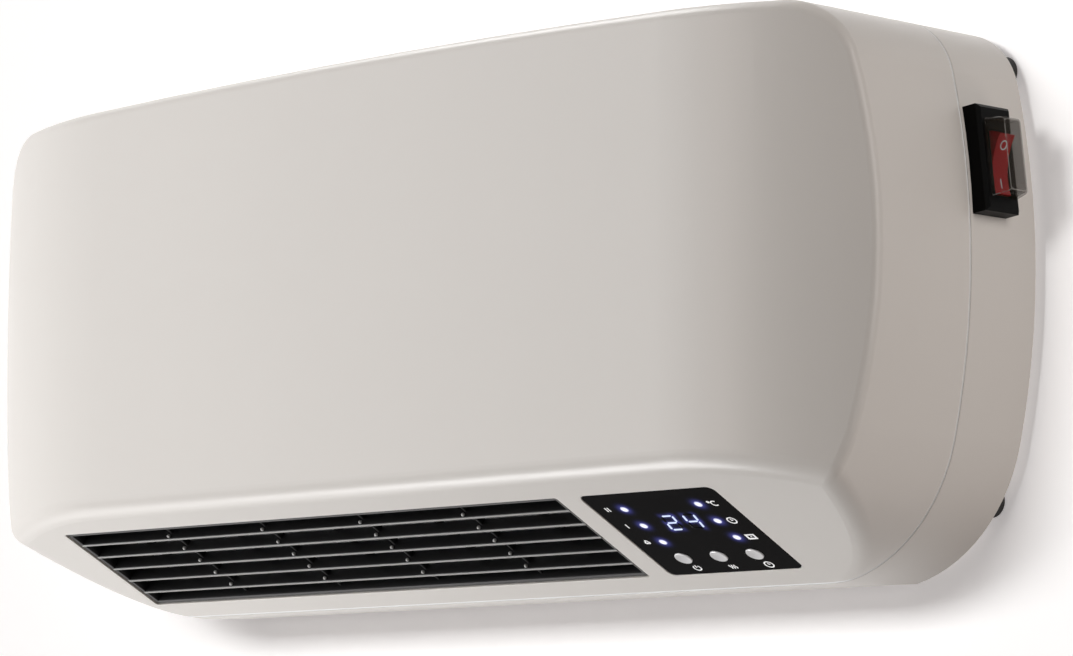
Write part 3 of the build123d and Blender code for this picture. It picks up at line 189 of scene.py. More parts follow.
# %% [markdown]
# `Finish` is a sheet that starts with one Principled shader. Its patterns read Object coordinates,
# which are real metres here, so a grain of half a millimetre is written as 0.0005. What is the same
# all over a surface is set on the shader's own socket, and only what changes is wired to it.


# %% Finishes
class Finish(Sheet):
    """A material with one Principled shader, ready for its surface to be written."""

    def __init__(self, name, **constants):
        self.material = bpy.data.materials.new(name)
        self.material.use_nodes = True
        super().__init__(self.material.node_tree)
        self.place = self.node("ShaderNodeTexCoord")["Object"]
        self.shader = self.tree.nodes.new("ShaderNodeBsdfPrincipled")
        output = self.tree.nodes.new("ShaderNodeOutputMaterial")
        self.tree.links.new(self.shader.outputs[0], output.inputs["Surface"])
        self.set(**constants)

    def set(self, **values):
        """Sets or links the shader's own inputs: Base_Color=..., Roughness=..."""
        for name, value in values.items():
            target = self.shader.inputs[name.replace("_", " ")]
            if isinstance(value, Wire):
                self.tree.links.new(value.socket, target)
            elif isinstance(value, tuple):
                target.default_value = (*value, 1.0)
            else:
                target.default_value = value

    def noise(self, size, detail=2.0, stretch=None):
        """Noise whose blobs are about a size, in metres. It swings round 0.5."""
        place = self.place
        if stretch:
            place = self.node("ShaderNodeMapping", None, Vector=place, Scale=stretch)
        return self.node("ShaderNodeTexNoise", None, Vector=place, Scale=1.0 / size, Detail=detail)

    def mottle(self, size, first, second, detail=2.0):
        """Lets the base colour drift between two colours, and returns the noise it follows."""
        cloud = self.noise(size, detail)
        self.set(Base_Color=self.mix(cloud, first, second))
        return cloud

    def ramp(self, value, *stops):
        """A colour by a value. Each stop is a place from 0 to 1 and its colour."""
        return self.node("ShaderNodeValToRGB", {"stops": stops}, Fac=value)

    def bump(self, height, depth):
        """Turns a height from 0 to 1 into a normal, for a relief that is depth metres tall."""
        normal = self.node("ShaderNodeBump", None, Height=height, Distance=depth, Strength=1.0)
        self.set(Normal=normal)


print("finishes ready")

# %% [markdown]
# Colours come in two scales. A screen shows 0 to 255 along a curve, but Blender mixes linear light,
# so a tone that was judged on a screen is first turned into linear light.


# %% Colours
def tint(colour, factor):
    """The same colour, lighter or darker."""
    return tuple(min(1.0, channel * factor) for channel in colour)


def linear(red, green, blue):
    """A colour as read off a screen, from 0 to 255, as the linear light that Blender mixes."""
    return tuple(
        (c / 255 / 12.92) if c <= 10 else ((c / 255 + 0.055) / 1.055) ** 2.4
        for c in (red, green, blue)
    )


print("mid grey of a screen:", [round(c, 3) for c in linear(128, 128, 128)])

# %% [markdown]
# ## Recipes for what repeats
#
# Slats, ribs, nubs and printed lines are each one shape used many times. Geometry Nodes describe
# such things once, with their sizes as named inputs. The same `Sheet` writes the tree. When a
# recipe is used, its result becomes a plain mesh, so that nothing is left to be worked out later.


# %% Geometry Nodes helper
class Recipe(Sheet):
    """A Geometry Nodes tree whose inputs are a path and named numbers."""

    def __init__(self, name, **sizes):
        super().__init__(bpy.data.node_groups.new(name, "GeometryNodeTree"))
        face = self.tree.interface
        face.new_socket(name="Path", in_out="INPUT", socket_type="NodeSocketGeometry")
        kinds = {int: "NodeSocketInt", float: "NodeSocketFloat"}
        self.keys = {}
        for label, value in sizes.items():
            socket = face.new_socket(name=label, in_out="INPUT", socket_type=kinds[type(value)])
            socket.default_value = value
            self.keys[label] = socket.identifier
        face.new_socket(name="Shape", in_out="OUTPUT", socket_type="NodeSocketGeometry")
        given = self.tree.nodes.new("NodeGroupInput")
        self.size = {label: Wire(self, given.outputs[label]) for label in sizes}
        self.path = Wire(self, given.outputs["Path"])

    def join(self, *shapes):
        made = self.tree.nodes.new("GeometryNodeJoinGeometry")
        for shape in shapes:
            self.tree.links.new(shape.socket, made.inputs[0])
        return Wire(self, made.outputs[0])

    def outline(self, width, height, radius, count):
        """A rectangle as a closed curve, with count points round each corner."""
        box = self.node("GeometryNodeCurvePrimitiveQuadrilateral", None, Width=width, Height=height)
        return self.node(
            "GeometryNodeFilletCurve",
            {"mode": "POLY"},
            Curve=box,
            Count=count,
            Radius=radius,
            Limit_Radius=True,
        )

    def sweep(self, path, profile):
        return self.node(
            "GeometryNodeCurveToMesh", None, Curve=path, Profile_Curve=profile, Fill_Caps=True
        )

    def bar(self, start, end, profile):
        line = self.node("GeometryNodeCurvePrimitiveLine", None, Start=start, End=end)
        return self.sweep(line, profile)

    def vec(self, x=0.0, y=0.0, z=0.0):
        return self.node("ShaderNodeCombineXYZ", None, X=x, Y=y, Z=z)

    def move(self, shape, offset):
        return self.node("GeometryNodeTransform", None, Geometry=shape, Translation=offset)

    def repeat(self, shape, count, step, start):
        """Copies of a shape along a line, as instances."""
        points = self.node(
            "GeometryNodeMeshLine",
            {"mode": "OFFSET"},
            Count=count,
            Start_Location=start,
            Offset=step,
        )
        return self.node("GeometryNodeInstanceOnPoints", None, Points=points, Instance=shape)

    def close(self, shape, finish):
        """Ends the tree: instances made real, then the material."""
        real = self.node("GeometryNodeRealizeInstances", None, Geometry=shape)
        done = self.node("GeometryNodeSetMaterial", None, Geometry=real, Material=finish.material)
        ending = self.tree.nodes.new("NodeGroupOutput")
        self.tree.links.new(done.socket, ending.inputs[0])

    def make(self, name, matrix=None, path=None, **sizes):
        """Runs the recipe and returns its result as a plain mesh object, put in place."""
        host = add(bpy.data.objects.new(name + "_host", path or bpy.data.meshes.new(name)))
        step = host.modifiers.new("recipe", "NODES")
        step.node_group = self.tree
        for label, value in sizes.items():
            step[self.keys[label]] = value
        graph = bpy.context.evaluated_depsgraph_get()
        mesh = bpy.data.meshes.new_from_object(host.evaluated_get(graph), depsgraph=graph)
        bpy.data.objects.remove(host)
        return placed(name, mesh, matrix)


print("recipes ready")

# %% [markdown]
# Some pieces need no recipe, because their vertices are easily worked out in Python. Either way
# the mesh itself is moved to its place and its object stays at the origin, as the CAD pieces do,
# so that no pattern slides when the model is exported.


# %% Plain meshes and paths
def placed(name, mesh, matrix=None, smooth=40.0):
    """Makes an object of a mesh, with its place in the mesh and faces smooth up to an angle."""
    if matrix is not None:
        mesh.transform(matrix)
    mesh.shade_smooth()
    mesh.set_sharp_from_angle(angle=math.radians(smooth))
    return add(bpy.data.objects.new(name, mesh))


def finished(work, name, *finishes):
    """Turns the work into a mesh with its finishes."""
    mesh = bpy.data.meshes.new(name)
    work.to_mesh(mesh)
    work.free()
    for finish in finishes:
        mesh.materials.append(finish.material)
    return mesh


def lines_mesh(name, strokes):
    """A mesh of edges only: each stroke is a run of points, and recipes read it as a path."""
    points, edges = [], []
    for stroke in strokes:
        first = len(points)
        points += [tuple(p) if len(p) == 3 else (*p, 0.0) for p in stroke]
        edges += [(first + n, first + n + 1) for n in range(len(stroke) - 1)]
    mesh = bpy.data.meshes.new(name)
    mesh.from_pydata(points, edges, [])
    return mesh


def arc(centre, radius, start, end, count=20):
    """Points round a circle from one angle to another, in degrees."""
    turn = [math.radians(start + (end - start) * n / count) for n in range(count + 1)]
    return [(centre[0] + radius * math.cos(t), centre[1] + radius * math.sin(t)) for t in turn]


print("mesh helpers ready")

# %% [markdown]
# ## The casing's plastic
#
# The shells are injection-moulded plastic in a warm white, polished to a satin. Three things keep
# such plastic from looking like plain paint: a faint waviness where the wall cooled, a very fine
# orange peel, and a slow drift in its tone. All three are small, so they show only where a light's
# reflection crosses the surface.
#
# Where the two shells meet, the front one has a fine raised bead all round. It is a millimetre
# wide, so a relief in the material draws it better than a mesh would: one flank turns to the light
# and the other away. The base colour adds a painted highlight and a painted shade line beside it.

# %% Moulded plastic
PEEL = 0.00045  # the size of the orange peel's cells


def satin(name, rough, gloss=0.5):
    """Plastic with uneven gloss, which still lacks its colour and its relief."""
    finish = Finish(name, Specular_IOR_Level=gloss)
    finish.set(Roughness=rough - 0.03 + 0.06 * finish.noise(0.012, 3.0))
    return finish


def moulded(name, colour, rough, peel_depth=0.000004, drift=0.02, gloss=0.5):
    """Injection-moulded plastic: slow drift of tone, fine peel, and uneven gloss."""
    finish = satin(name, rough, gloss)
    finish.mottle(0.07, tint(colour, 1 - drift), tint(colour, 1 + drift), 3.0)
    finish.bump(finish.noise(PEEL), peel_depth)
    return finish


shell_finish = satin("warm_white_plastic", 0.35, gloss=0.34)
shell_finish.set(Coat_Weight=0.12, Coat_Roughness=0.2)
seam_y, half_bead, bead_depth = -0.0397, 0.0005, 0.00045
from_seam = shell_finish.vector("DOT_PRODUCT", shell_finish.place, (0, 1, 0)) - seam_y
flank = 1.0 - shell_finish.maths("ABSOLUTE", from_seam) / half_bead
ridge = shell_finish.maths("MAXIMUM", flank, 0.0)
peel_share = 0.009  # how deep the peel is beside the bead
shell_finish.bump(ridge + peel_share * shell_finish.noise(PEEL), bead_depth)
# Painted highlight and painted shade: the ramp turns the base colour white just in front of the
# seam and grey just behind it.
band = 0.002  # the width across the seam that the ramp covers
plain, bright, dark = linear(226, 222, 217), (1.0, 1.0, 1.0), (0.45, 0.43, 0.42)
lines = shell_finish.ramp(
    from_seam / band + 0.5,
    (0.12, plain),
    (0.18, bright),
    (0.48, bright),
    (0.54, dark),
    (0.62, dark),
    (0.68, plain),
)
slow = shell_finish.mix(shell_finish.noise(0.07, 3.0), (0.97, 0.97, 0.97), (1, 1, 1))
shell_finish.set(Base_Color=shell_finish.vector("MULTIPLY", lines, slow))
guard_finish = moulded("black_guard_plastic", (0.006, 0.006, 0.006), 0.6, gloss=0.15)
housing_finish = moulded(
    "black_switch_plastic", (0.0035, 0.0035, 0.0035), 0.35, drift=0.1, gloss=0.03
)
part_finish = moulded("black_matte_plastic", (0.02, 0.02, 0.021), 0.55, peel_depth=0.00001)
white_finish = moulded("natural_nylon", (0.72, 0.71, 0.66), 0.5, peel_depth=0.00001)
blue_finish = moulded("blue_case_plastic", (0.02, 0.07, 0.28), 0.35)
yellow_finish = moulded("yellow_case_plastic", (0.65, 0.42, 0.05), 0.35)
heat_finish = moulded("heat_proof_plastic", (0.05, 0.035, 0.028), 0.6, peel_depth=0.00002)
print("moulded plastics made")

# %% [markdown]
# ## Metals
#
# Zinc-plated sheet is grey with a cloudy bloom and fine rolling lines. The same function serves for
# screws, motor plates, aluminium and brass with other colours: noise drawn out along one direction
# gives the lines, and a broader noise the bloom. A scratched image would do too, but it repeats.


# %% Metals
def rolled(name, colour, rough, stretch=(0.05, 1.0, 1.0)):
    """Rolled or turned metal with fine lines along one direction and a cloudy bloom."""
    finish = Finish(name, Metallic=1.0)
    lines = finish.noise(0.0004, 3.0, stretch)
    cloud = finish.mottle(0.008, tint(colour, 0.88), tint(colour, 1.12), 4.0)
    finish.set(Roughness=rough + 0.16 * (lines - 0.5) + 0.12 * (cloud - 0.5))
    finish.bump(lines, 0.000006)
    return finish


zinc_finish = rolled("zinc_plated_steel", (0.58, 0.59, 0.6), 0.36)
screw_finish = rolled("plated_screw", (0.5, 0.5, 0.52), 0.3, stretch=(1, 1, 1))
lamination_finish = rolled("electrical_steel", (0.2, 0.2, 0.21), 0.5, stretch=(1, 0.03, 0.03))
aluminium_finish = rolled("mill_aluminium", (0.72, 0.73, 0.74), 0.34)
brass_finish = rolled("tinned_brass", (0.72, 0.55, 0.28), 0.33)
print("metals made")

# %% [markdown]
# ## The small finishes inside
#
# A heater has a circuit board with copper tracks under green lacquer, a wound copper coil, dark
# fired ceramic and a woven dust filter. They are seen only through the grilles, but the model can
# be taken apart, so each gets its own pattern at its real scale. One pattern node is enough for
# most: bricks for the tracks, waves for the windings, a checker for the weave.

# %% Inner finishes
board_finish = Finish("green_circuit_board", Roughness=0.3, Coat_Weight=0.3)
tracks = board_finish.node(
    "ShaderNodeTexBrick",
    {"offset": 0.5, "squash": 0.6},
    Vector=board_finish.place,
    Scale=90.0,
    Mortar_Size=0.06,
    Color1=(0.012, 0.09, 0.03, 1),
    Color2=(0.010, 0.075, 0.026, 1),
    Mortar=(0.03, 0.16, 0.05, 1),
)
board_finish.set(Base_Color=tracks)

copper_finish = Finish("enamelled_copper", Metallic=0.9, Roughness=0.28)
turns = copper_finish.node(
    "ShaderNodeTexWave",
    {"bands_direction": "Y", "wave_profile": "SIN"},
    Vector=copper_finish.place,
    Scale=500.0,
    Distortion=0.6,
    Detail=1.0,
)
copper_finish.set(Base_Color=copper_finish.mix(turns, (0.3, 0.09, 0.03), (0.62, 0.25, 0.1)))
copper_finish.bump(turns, 0.0001)

ceramic_finish = Finish("fired_ceramic", Roughness=0.8)
speckle = ceramic_finish.mottle(0.0008, (0.1, 0.09, 0.08), (0.2, 0.18, 0.16), 4.0)
ceramic_finish.bump(speckle, 0.00005)

filter_finish = Finish("filter_mesh", Roughness=0.8)
weave = filter_finish.node(
    "ShaderNodeTexChecker",
    None,
    Vector=filter_finish.place,
    Scale=1400.0,
    Color1=(0.02, 0.02, 0.022, 1),
    Color2=(0.07, 0.07, 0.075, 1),
)
filter_finish.set(Base_Color=weave)

rubber_finish = Finish("black_rubber", Roughness=0.75, Specular_IOR_Level=0.3)
rubber_finish.mottle(0.002, (0.012, 0.012, 0.012), (0.035, 0.034, 0.033), 5.0)
rubber_finish.bump(rubber_finish.noise(0.0004, 3.0), 0.00002)

tube_finish = Finish("fuse_glass", Roughness=0.05, IOR=1.45, Transmission_Weight=0.9)
tube_finish.mottle(0.004, (0.8, 0.86, 0.85), (0.9, 0.93, 0.92))
print("inner finishes made")

# %% [markdown]
# ## Where things sit on the slanted face
#
# The grille, the panel and all that is printed on it lie in one slanted plane. Three directions
# describe it: along the heater, up the slope and out of the face. A point then needs only its
# place on the face, in millimetres, and the helper turns it into a place in the room.

# %% The slanted face
SLOPE = math.radians(28.0)
slope_start = Vector((0.0, -38.2, -96.2)) * MM
up_slope = Vector((0.0, -math.cos(SLOPE), math.sin(SLOPE)))
outward = Vector((0.0, -math.sin(SLOPE), -math.cos(SLOPE)))
opening_start, opening_height = 11.9, 53.1
half_opening = opening_height / 2


def face_point(x, rise):
    """A point of the slanted face, by the millimetres along the heater and up the slope."""
    return slope_start + Vector((x, 0, 0)) * MM + up_slope * rise * MM


panel_centre = face_point(128.6, opening_start + half_opening)
grille_centre = face_point(-44.35, opening_start + half_opening)


def face_matrix(centre, proud=0.0):
    """Local X along the heater, local Y up the slope, local Z out of the face."""
    turned = Matrix((Vector((1, 0, 0)), up_slope, outward)).transposed().to_4x4()
    return Matrix.Translation(centre + outward * proud * MM) @ turned


def on_panel(x, y):
    """A point given in millimetres from the control panel's centre."""
    return face_matrix(panel_centre) @ (Vector((x, y, 0)) * MM)


print("panel centre, mm:", [round(v / MM, 1) for v in panel_centre])

# %% [markdown]
# ## The lit panel
#
# The panel is a glossy black plate. Six lamps and two digits shine through it, and their light
# bleeds into the plate round them as a faint blue halo. The halo is painted by distance: each lamp
# is a point, each stroke of a digit a short line, and the glow fades smoothly away from both.

# %% Digits and lamps
lamp_top, lamp_pitch, lamp_column = 43.25, 10.8, 17.0
lamp_rows = [lamp_top - row * lamp_pitch - half_opening for row in range(3)]
lamp_points = [(x, y) for x in (-lamp_column, lamp_column) for y in lamp_rows]
digit_rise, digit_shift, half_step = 33.1 - half_opening, 1.6, 4.85
digit_width, digit_height, stroke_width = 4.9, 9.6, 0.95
half_digit, tall_digit = digit_width / 2, (digit_height - stroke_width) / 2
lean = math.tan(math.radians(11.0))
strokes_of = {
    "a": ((-1, 1), (1, 1)),
    "b": ((1, 1), (1, 0)),
    "c": ((1, 0), (1, -1)),
    "d": ((-1, -1), (1, -1)),
    "e": ((-1, 0), (-1, -1)),
    "f": ((-1, 1), (-1, 0)),
    "g": ((-1, 0), (1, 0)),
}


def stroke_ends(digit_x, kind):
    """The two ends of one stroke of a digit, in millimetres from the panel's centre."""
    ends = []
    for across, level in strokes_of[kind]:
        x, y = across * half_digit, level * tall_digit
        ends.append((digit_shift + digit_x + x + y * lean, digit_rise + y))
    return ends


lit_strokes = [stroke_ends(-half_step, kind) for kind in "abged"]
lit_strokes += [stroke_ends(half_step, kind) for kind in "fgbc"]
print(len(lit_strokes), "strokes are lit")


def face_spot(finish):
    """Where a point of the surface lies on the panel, in millimetres from its centre."""
    across = finish.vector("DOT_PRODUCT", finish.place, (1, 0, 0)) - panel_centre.x
    level = panel_centre.dot(up_slope)
    rise = finish.vector("DOT_PRODUCT", finish.place, tuple(up_slope)) - level
    return finish.node("ShaderNodeCombineXYZ", None, X=across / MM, Y=rise / MM)


def lamp_reach(finish, spot, x, y):
    """The distance from a point to a lamp's middle."""
    return finish.vector("DISTANCE", spot, (x, y, 0.0))


def stroke_reach(finish, spot, start, end):
    """The distance from a point to the line between two ends."""
    run = Vector((end[0] - start[0], end[1] - start[1], 0.0))
    offset = finish.vector("SUBTRACT", spot, (*start, 0.0))
    share = finish.vector("DOT_PRODUCT", offset, tuple(run)) / run.length_squared
    share = finish.maths("MAXIMUM", finish.maths("MINIMUM", share, 1.0), 0.0)
    foot = finish.node("ShaderNodeVectorMath", {"operation": "SCALE"}, _0=tuple(run), Scale=share)
    return finish.vector("DISTANCE", offset, foot)


def fade(reach, width, power):
    """Falls from 1 to nothing within about a width. A higher power gives it a harder edge."""
    return math.e ** (-1.0 * (reach / width) ** power)


def glow_of(finish, reach_to, sources, width, power=2.0):
    """The light at a point of the surface from all the sources together."""
    spot = face_spot(finish)
    reaches = [reach_to(finish, spot, *source) for source in sources]
    return sum(fade(reach, width, power) for reach in reaches)


# %% [markdown]
# The panel stays black in the picture although the room round it is white. A common gloss would
# mirror that room and look grey, so this one has a low index of refraction. The halo could be real
# light under a clear plate, but that is slow and noisy, and a sum of soft spots is clean at once.

# %% Panel gloss with its halo
panel_finish = Finish("black_panel_gloss", Roughness=0.14, IOR=1.045, Emission_Strength=1.0)
lamp_halo = glow_of(panel_finish, lamp_reach, lamp_points, 2.1)
stroke_halo = glow_of(panel_finish, stroke_reach, lit_strokes, 1.3)
halo = 0.55 * lamp_halo + 0.16 * stroke_halo
panel_finish.mottle(0.01, (0.0035, 0.0033, 0.0036), (0.0055, 0.005, 0.0052))
panel_finish.set(Emission_Color=panel_finish.mix(halo, (0, 0, 0), (0.16, 0.17, 0.75)))
print("halo drawn round", len(lamp_points), "lamps and", len(lit_strokes), "strokes")

# %% [markdown]
# A lit lens is almost white in its middle and blue at its rim, where less light gets out. The
# distances that draw the halo draw that too, with a harder edge. The buttons wear silver lacquer: a
# half metallic base with a fine flake keeps them soft and grey where chrome would be a mirror.

# %% Light, button and rocker finishes
lamp_finish = Finish("lit_lens", Roughness=0.3, IOR=1.05, Emission_Strength=1.15)
glow = glow_of(lamp_finish, lamp_reach, lamp_points, 1.5, power=6.0)
lamp_finish.set(
    Base_Color=(0.05, 0.05, 0.09),
    Emission_Color=lamp_finish.mix(glow, (0.03, 0.03, 0.24), (0.9, 0.92, 1.0)),
)
digit_finish = Finish("lit_stroke", Roughness=0.3, IOR=1.05, Emission_Strength=1.15)
glow = glow_of(digit_finish, stroke_reach, lit_strokes, 0.5, power=4.0)
digit_finish.set(
    Base_Color=(0.03, 0.03, 0.06),
    Emission_Color=digit_finish.mix(glow, (0.03, 0.04, 0.2), (0.68, 0.77, 1.0)),
)
dark_stroke_finish = Finish("unlit_stroke", Roughness=0.15, IOR=1.045)
dark_stroke_finish.mottle(0.002, (0.004, 0.004, 0.005), (0.007, 0.007, 0.008))

button_finish = Finish("silver_lacquer", Metallic=0.55, Specular_IOR_Level=0.6)
flake = button_finish.mottle(0.00012, (0.42, 0.42, 0.43), (0.66, 0.66, 0.66))
button_finish.set(Roughness=0.34 + 0.2 * (flake - 0.5))
button_finish.bump(flake, 0.000004)

rocker_finish = moulded("red_gloss_plastic", (0.85, 0.006, 0.012), 0.18, drift=0.1, gloss=0.4)
print("lit and coloured finishes made")

# %% [markdown]
# The cover over the rocker is clear plastic with a brown smoke in it. Its walls are too thin to
# bend the view, so instead of real refraction, with its many bounces of light, the surface is
# simply partly see-through. The edges get a paler colour of their own, a painted highlight.

# %% Smoky cover
cover_finish = Finish("smoky_clear_plastic", Roughness=0.08, IOR=1.16, Alpha=0.31)
cover_finish.mottle(0.003, (0.035, 0.028, 0.02), (0.05, 0.04, 0.03))
# The paler edge colour is a painted highlight.
cover_edge_highlight_finish = Finish("bright_cover_edge", Roughness=0.15, IOR=1.3, Alpha=0.5)
cover_edge_highlight_finish.mottle(0.004, (0.2, 0.19, 0.18), (0.6, 0.58, 0.55))
print("cover finishes made")

# %% [markdown]
# ## Dressing the CAD solids
#
# A CAD solid that already has the right shape keeps it and only takes a finish. Its mesh comes
# with exact normals, so its fillets shade smoothly as they are.

# %% Finishes by node
finish_of = {
    shell_finish: "front_shell rear_shell intake_grille",
    guard_finish: "outlet_grille finger_guard",
    panel_finish: "control_panel",
    lamp_finish: "indicator_leds",
    dark_stroke_finish: "display_digits",
    button_finish: "button_power button_heat button_timer",
    housing_finish: "switch_housing",
    rocker_finish: "switch_rocker",
    cover_finish: "switch_cover",
    rubber_finish: "wall_feet cable_grommet bearing_grommet",
    zinc_finish: "wall_bracket",
    screw_finish: "shell_screws guide_screws control_board_screws power_board_screws "
    "thermal_fuse fan_shaft",
    lamination_finish: "motor_stator",
    aluminium_finish: "fan_impeller ptc_fins motor_rotor motor_bracket_inner "
    "motor_bracket_outer",
    brass_finish: "bearing_bush ptc_terminals switch_terminals",
    copper_finish: "motor_coil",
    ceramic_finish: "ptc_cores",
    heat_finish: "ptc_frame thermal_cutout",
    board_finish: "control_board power_board",
    part_finish: "air_guide vortex_tongue tact_switches buzzer infrared_receiver "
    "room_sensor display_module",
    blue_finish: "relays",
    yellow_finish: "filter_capacitor power_converter",
    white_finish: "plunger_power plunger_heat plunger_timer terminal_block",
    tube_finish: "mains_fuse",
    filter_finish: "dust_filter",
}
dressed = set()
for finish, names in finish_of.items():
    for name in names.split():
        nodes[name].data.materials.clear()
        nodes[name].data.materials.append(finish.material)
        dressed.add(name)
print(len(dressed), "nodes dressed, left over:", sorted(set(nodes) - dressed))

# %% [markdown]
# ## The outlet grille
#
# The grille is one black moulding: a frame, five long slats and, between them, thin ribs that are
# set back. In the picture only the rounded front edge of each slat catches light, as a grey line
# that ends just short of the frame. A plain box would have no such line, so every bar is swept
# from a profile with rounded corners. The base colour also has a painted highlight: it is paler
# within half a millimetre of the front, by a ramp that reads how deep each point lies behind the
# slanted face.

# %% Grille plastic
grille_finish = satin("black_satin_plastic", 0.4, gloss=0.3)
grille_finish.bump(grille_finish.noise(0.0006), 0.000012)
face_level = grille_centre.dot(outward)
sunk = face_level - grille_finish.vector("DOT_PRODUCT", grille_finish.place, tuple(outward))
# Painted highlight: the base colour is paler within half a millimetre of the front.
painted_edge_highlight = grille_finish.ramp(
    sunk / 0.001, (0.33, (0.34, 0.34, 0.33)), (0.45, (0.1, 0.1, 0.1)), (0.7, (0.008, 0.008, 0.0085))
)
grille_finish.set(Base_Color=painted_edge_highlight)
print("grille plastic made")

# %% [markdown]
# The recipe sweeps one profile round a rectangle for the frame, and two others along a line for one
# slat and one rib. It then repeats these at their pitch. Its inputs are the real sizes, so another
# count of slats is a change of one number.

# %% Outlet grille
slat_pitch, rib_pitch = 0.00885, 0.05278
grille = Recipe(
    "slats_and_ribs",
    Width=0.2636,
    Height=0.0528,
    Rim=0.002,
    Depth=0.006,
    Slats=5,
    Slat_Pitch=slat_pitch,
    Slat=0.0013,
    Slat_Depth=0.0052,
    Ribs=4,
    Rib_Pitch=rib_pitch,
    Rib=0.0011,
    Rib_Back=0.0026,
    Rounding=0.00045,
)
size = grille.size
width, height = size["Width"], size["Height"]
rim_path = grille.outline(width - size["Rim"], height - size["Rim"], 0.0004, 2)
rim_bar = grille.outline(size["Rim"], size["Depth"], 0.0003, 2)
rim_sunk = 0.0003
rim_back = size["Depth"] * -0.5 - rim_sunk
rim = grille.move(grille.sweep(rim_path, rim_bar), grille.vec(z=rim_back))
slat_profile = grille.outline(size["Slat"], size["Slat_Depth"], size["Rounding"], 4)
reach = width * 0.5 - size["Rim"] * 0.5
one_slat = grille.bar(grille.vec(x=reach * -1.0), grille.vec(x=reach), slat_profile)
slat_start = grille.vec(
    y=(size["Slats"] - 1.0) * size["Slat_Pitch"] * -0.5, z=size["Slat_Depth"] * -0.5
)
slats = grille.repeat(one_slat, size["Slats"], grille.vec(y=size["Slat_Pitch"]), slat_start)
rib_depth = size["Slat_Depth"] - size["Rib_Back"]
rib_profile = grille.outline(size["Rib"], rib_depth, 0.00035, 3)
rib_reach = height * 0.5 - size["Rim"] * 0.5
one_rib = grille.bar(grille.vec(y=rib_reach * -1.0), grille.vec(y=rib_reach), rib_profile)
rib_start = grille.vec(
    x=(size["Ribs"] - 1.0) * size["Rib_Pitch"] * -0.5, z=rib_depth * -0.5 - size["Rib_Back"]
)
ribs = grille.repeat(one_rib, size["Ribs"], grille.vec(x=size["Rib_Pitch"]), rib_start)
grille.close(grille.join(rim, slats, ribs), grille_finish)
grille_sunk = 0.3
outlet = grille.make("outlet_slats", face_matrix(grille_centre, -grille_sunk))
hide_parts("outlet_grille")
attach(outlet, "heater")
print("outlet grille:", len(outlet.data.polygons), "faces")

# %% [markdown]
# Each rib ends in a small round nub at the slat below it, painted mid grey as a highlight. The nubs
# stand on a grid, which is simply a row of instances that is used again as an instance.

# %% Nubs on the ribs
# The nubs' mid grey is a painted highlight on the black grille.
nub_highlight_finish = moulded("rubbed_nub", (0.5, 0.5, 0.49), 0.3)
nub_sunk = 1.3
nubs = Recipe(
    "rib_nubs", Ribs=4, Rows=6, Rib_Pitch=rib_pitch, Slat_Pitch=slat_pitch, Radius=0.0007
)
size = nubs.size
nub = nubs.node("GeometryNodeMeshIcoSphere", None, Radius=size["Radius"], Subdivisions=2)
row_start = nubs.vec(x=(size["Ribs"] - 1.0) * size["Rib_Pitch"] * -0.5)
row = nubs.repeat(nub, size["Ribs"], nubs.vec(x=size["Rib_Pitch"]), row_start)
grid_start = nubs.vec(y=size["Rows"] * size["Slat_Pitch"] * -0.5 + size["Radius"] * 1.9)
nubs.close(nubs.repeat(row, size["Rows"], nubs.vec(y=size["Slat_Pitch"]), grid_start), nub_highlight_finish)
rib_nubs = nubs.make("rib_nubs", face_matrix(grille_centre, -nub_sunk))
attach(rib_nubs, "heater")
print("nubs:", len(rib_nubs.data.polygons), "faces")

# %% [markdown]
# ## The lit digits
#
# Each digit has seven strokes, and the panel shows 24 degrees, so nine of the fourteen are lit.
# The CAD solid holds all fourteen in one piece. A copy of it is split into its loose parts, and
# each part takes the lit or the dark finish by where its middle lies.


# %% Lit and dark strokes
def merged_copy(node):
    """A copy of a CAD node's mesh with its loose triangles joined."""
    work = bmesh.new()
    work.from_mesh(nodes[node].data)
    bmesh.ops.remove_doubles(work, verts=work.verts, dist=1e-6)
    return work


def loose_parts(work):
    """Lists the faces of each separate part of a mesh."""
    left = set(work.faces)
    parts = []
    while left:
        part, queue = set(), [left.pop()]
        while queue:
            face = queue.pop()
            part.add(face)
            for edge in face.edges:
                for other in edge.link_faces:
                    if other in left:
                        left.discard(other)
                        queue.append(other)
        parts.append(part)
    return parts


def beside(first, second):
    """How far apart two points lie along the slanted face."""
    gap = first - second
    return (gap - outward * gap.dot(outward)).length


middles = [on_panel((ax + bx) / 2, (ay + by) / 2) for (ax, ay), (bx, by) in lit_strokes]
near = 0.0012
work = merged_copy("display_digits")
lit_count = 0
for part in loose_parts(work):
    corners = {vert for face in part for vert in face.verts}
    middle = sum((vert.co for vert in corners), Vector()) / len(corners)
    is_lit = min(beside(middle, lit_middle) for lit_middle in middles) < near
    lit_count += is_lit
    for face in part:
        face.material_index = 0 if is_lit else 1
mesh = finished(work, "display_strokes", digit_finish, dark_stroke_finish)
digits = placed("display_strokes", mesh)
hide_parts("display_digits")
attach(digits, "heater")
print("lit strokes:", lit_count)

# %% [markdown]
# ## Printed marks
#
# The panel's small white marks are pad-printed: thin lines of ink that stand a few hundredths of a
# millimetre proud. Each mark is drawn as strokes on the panel, and one recipe turns every stroke
# into a flat ribbon of ink. A picture could print them too, but a ribbon stays sharp at any
# distance.

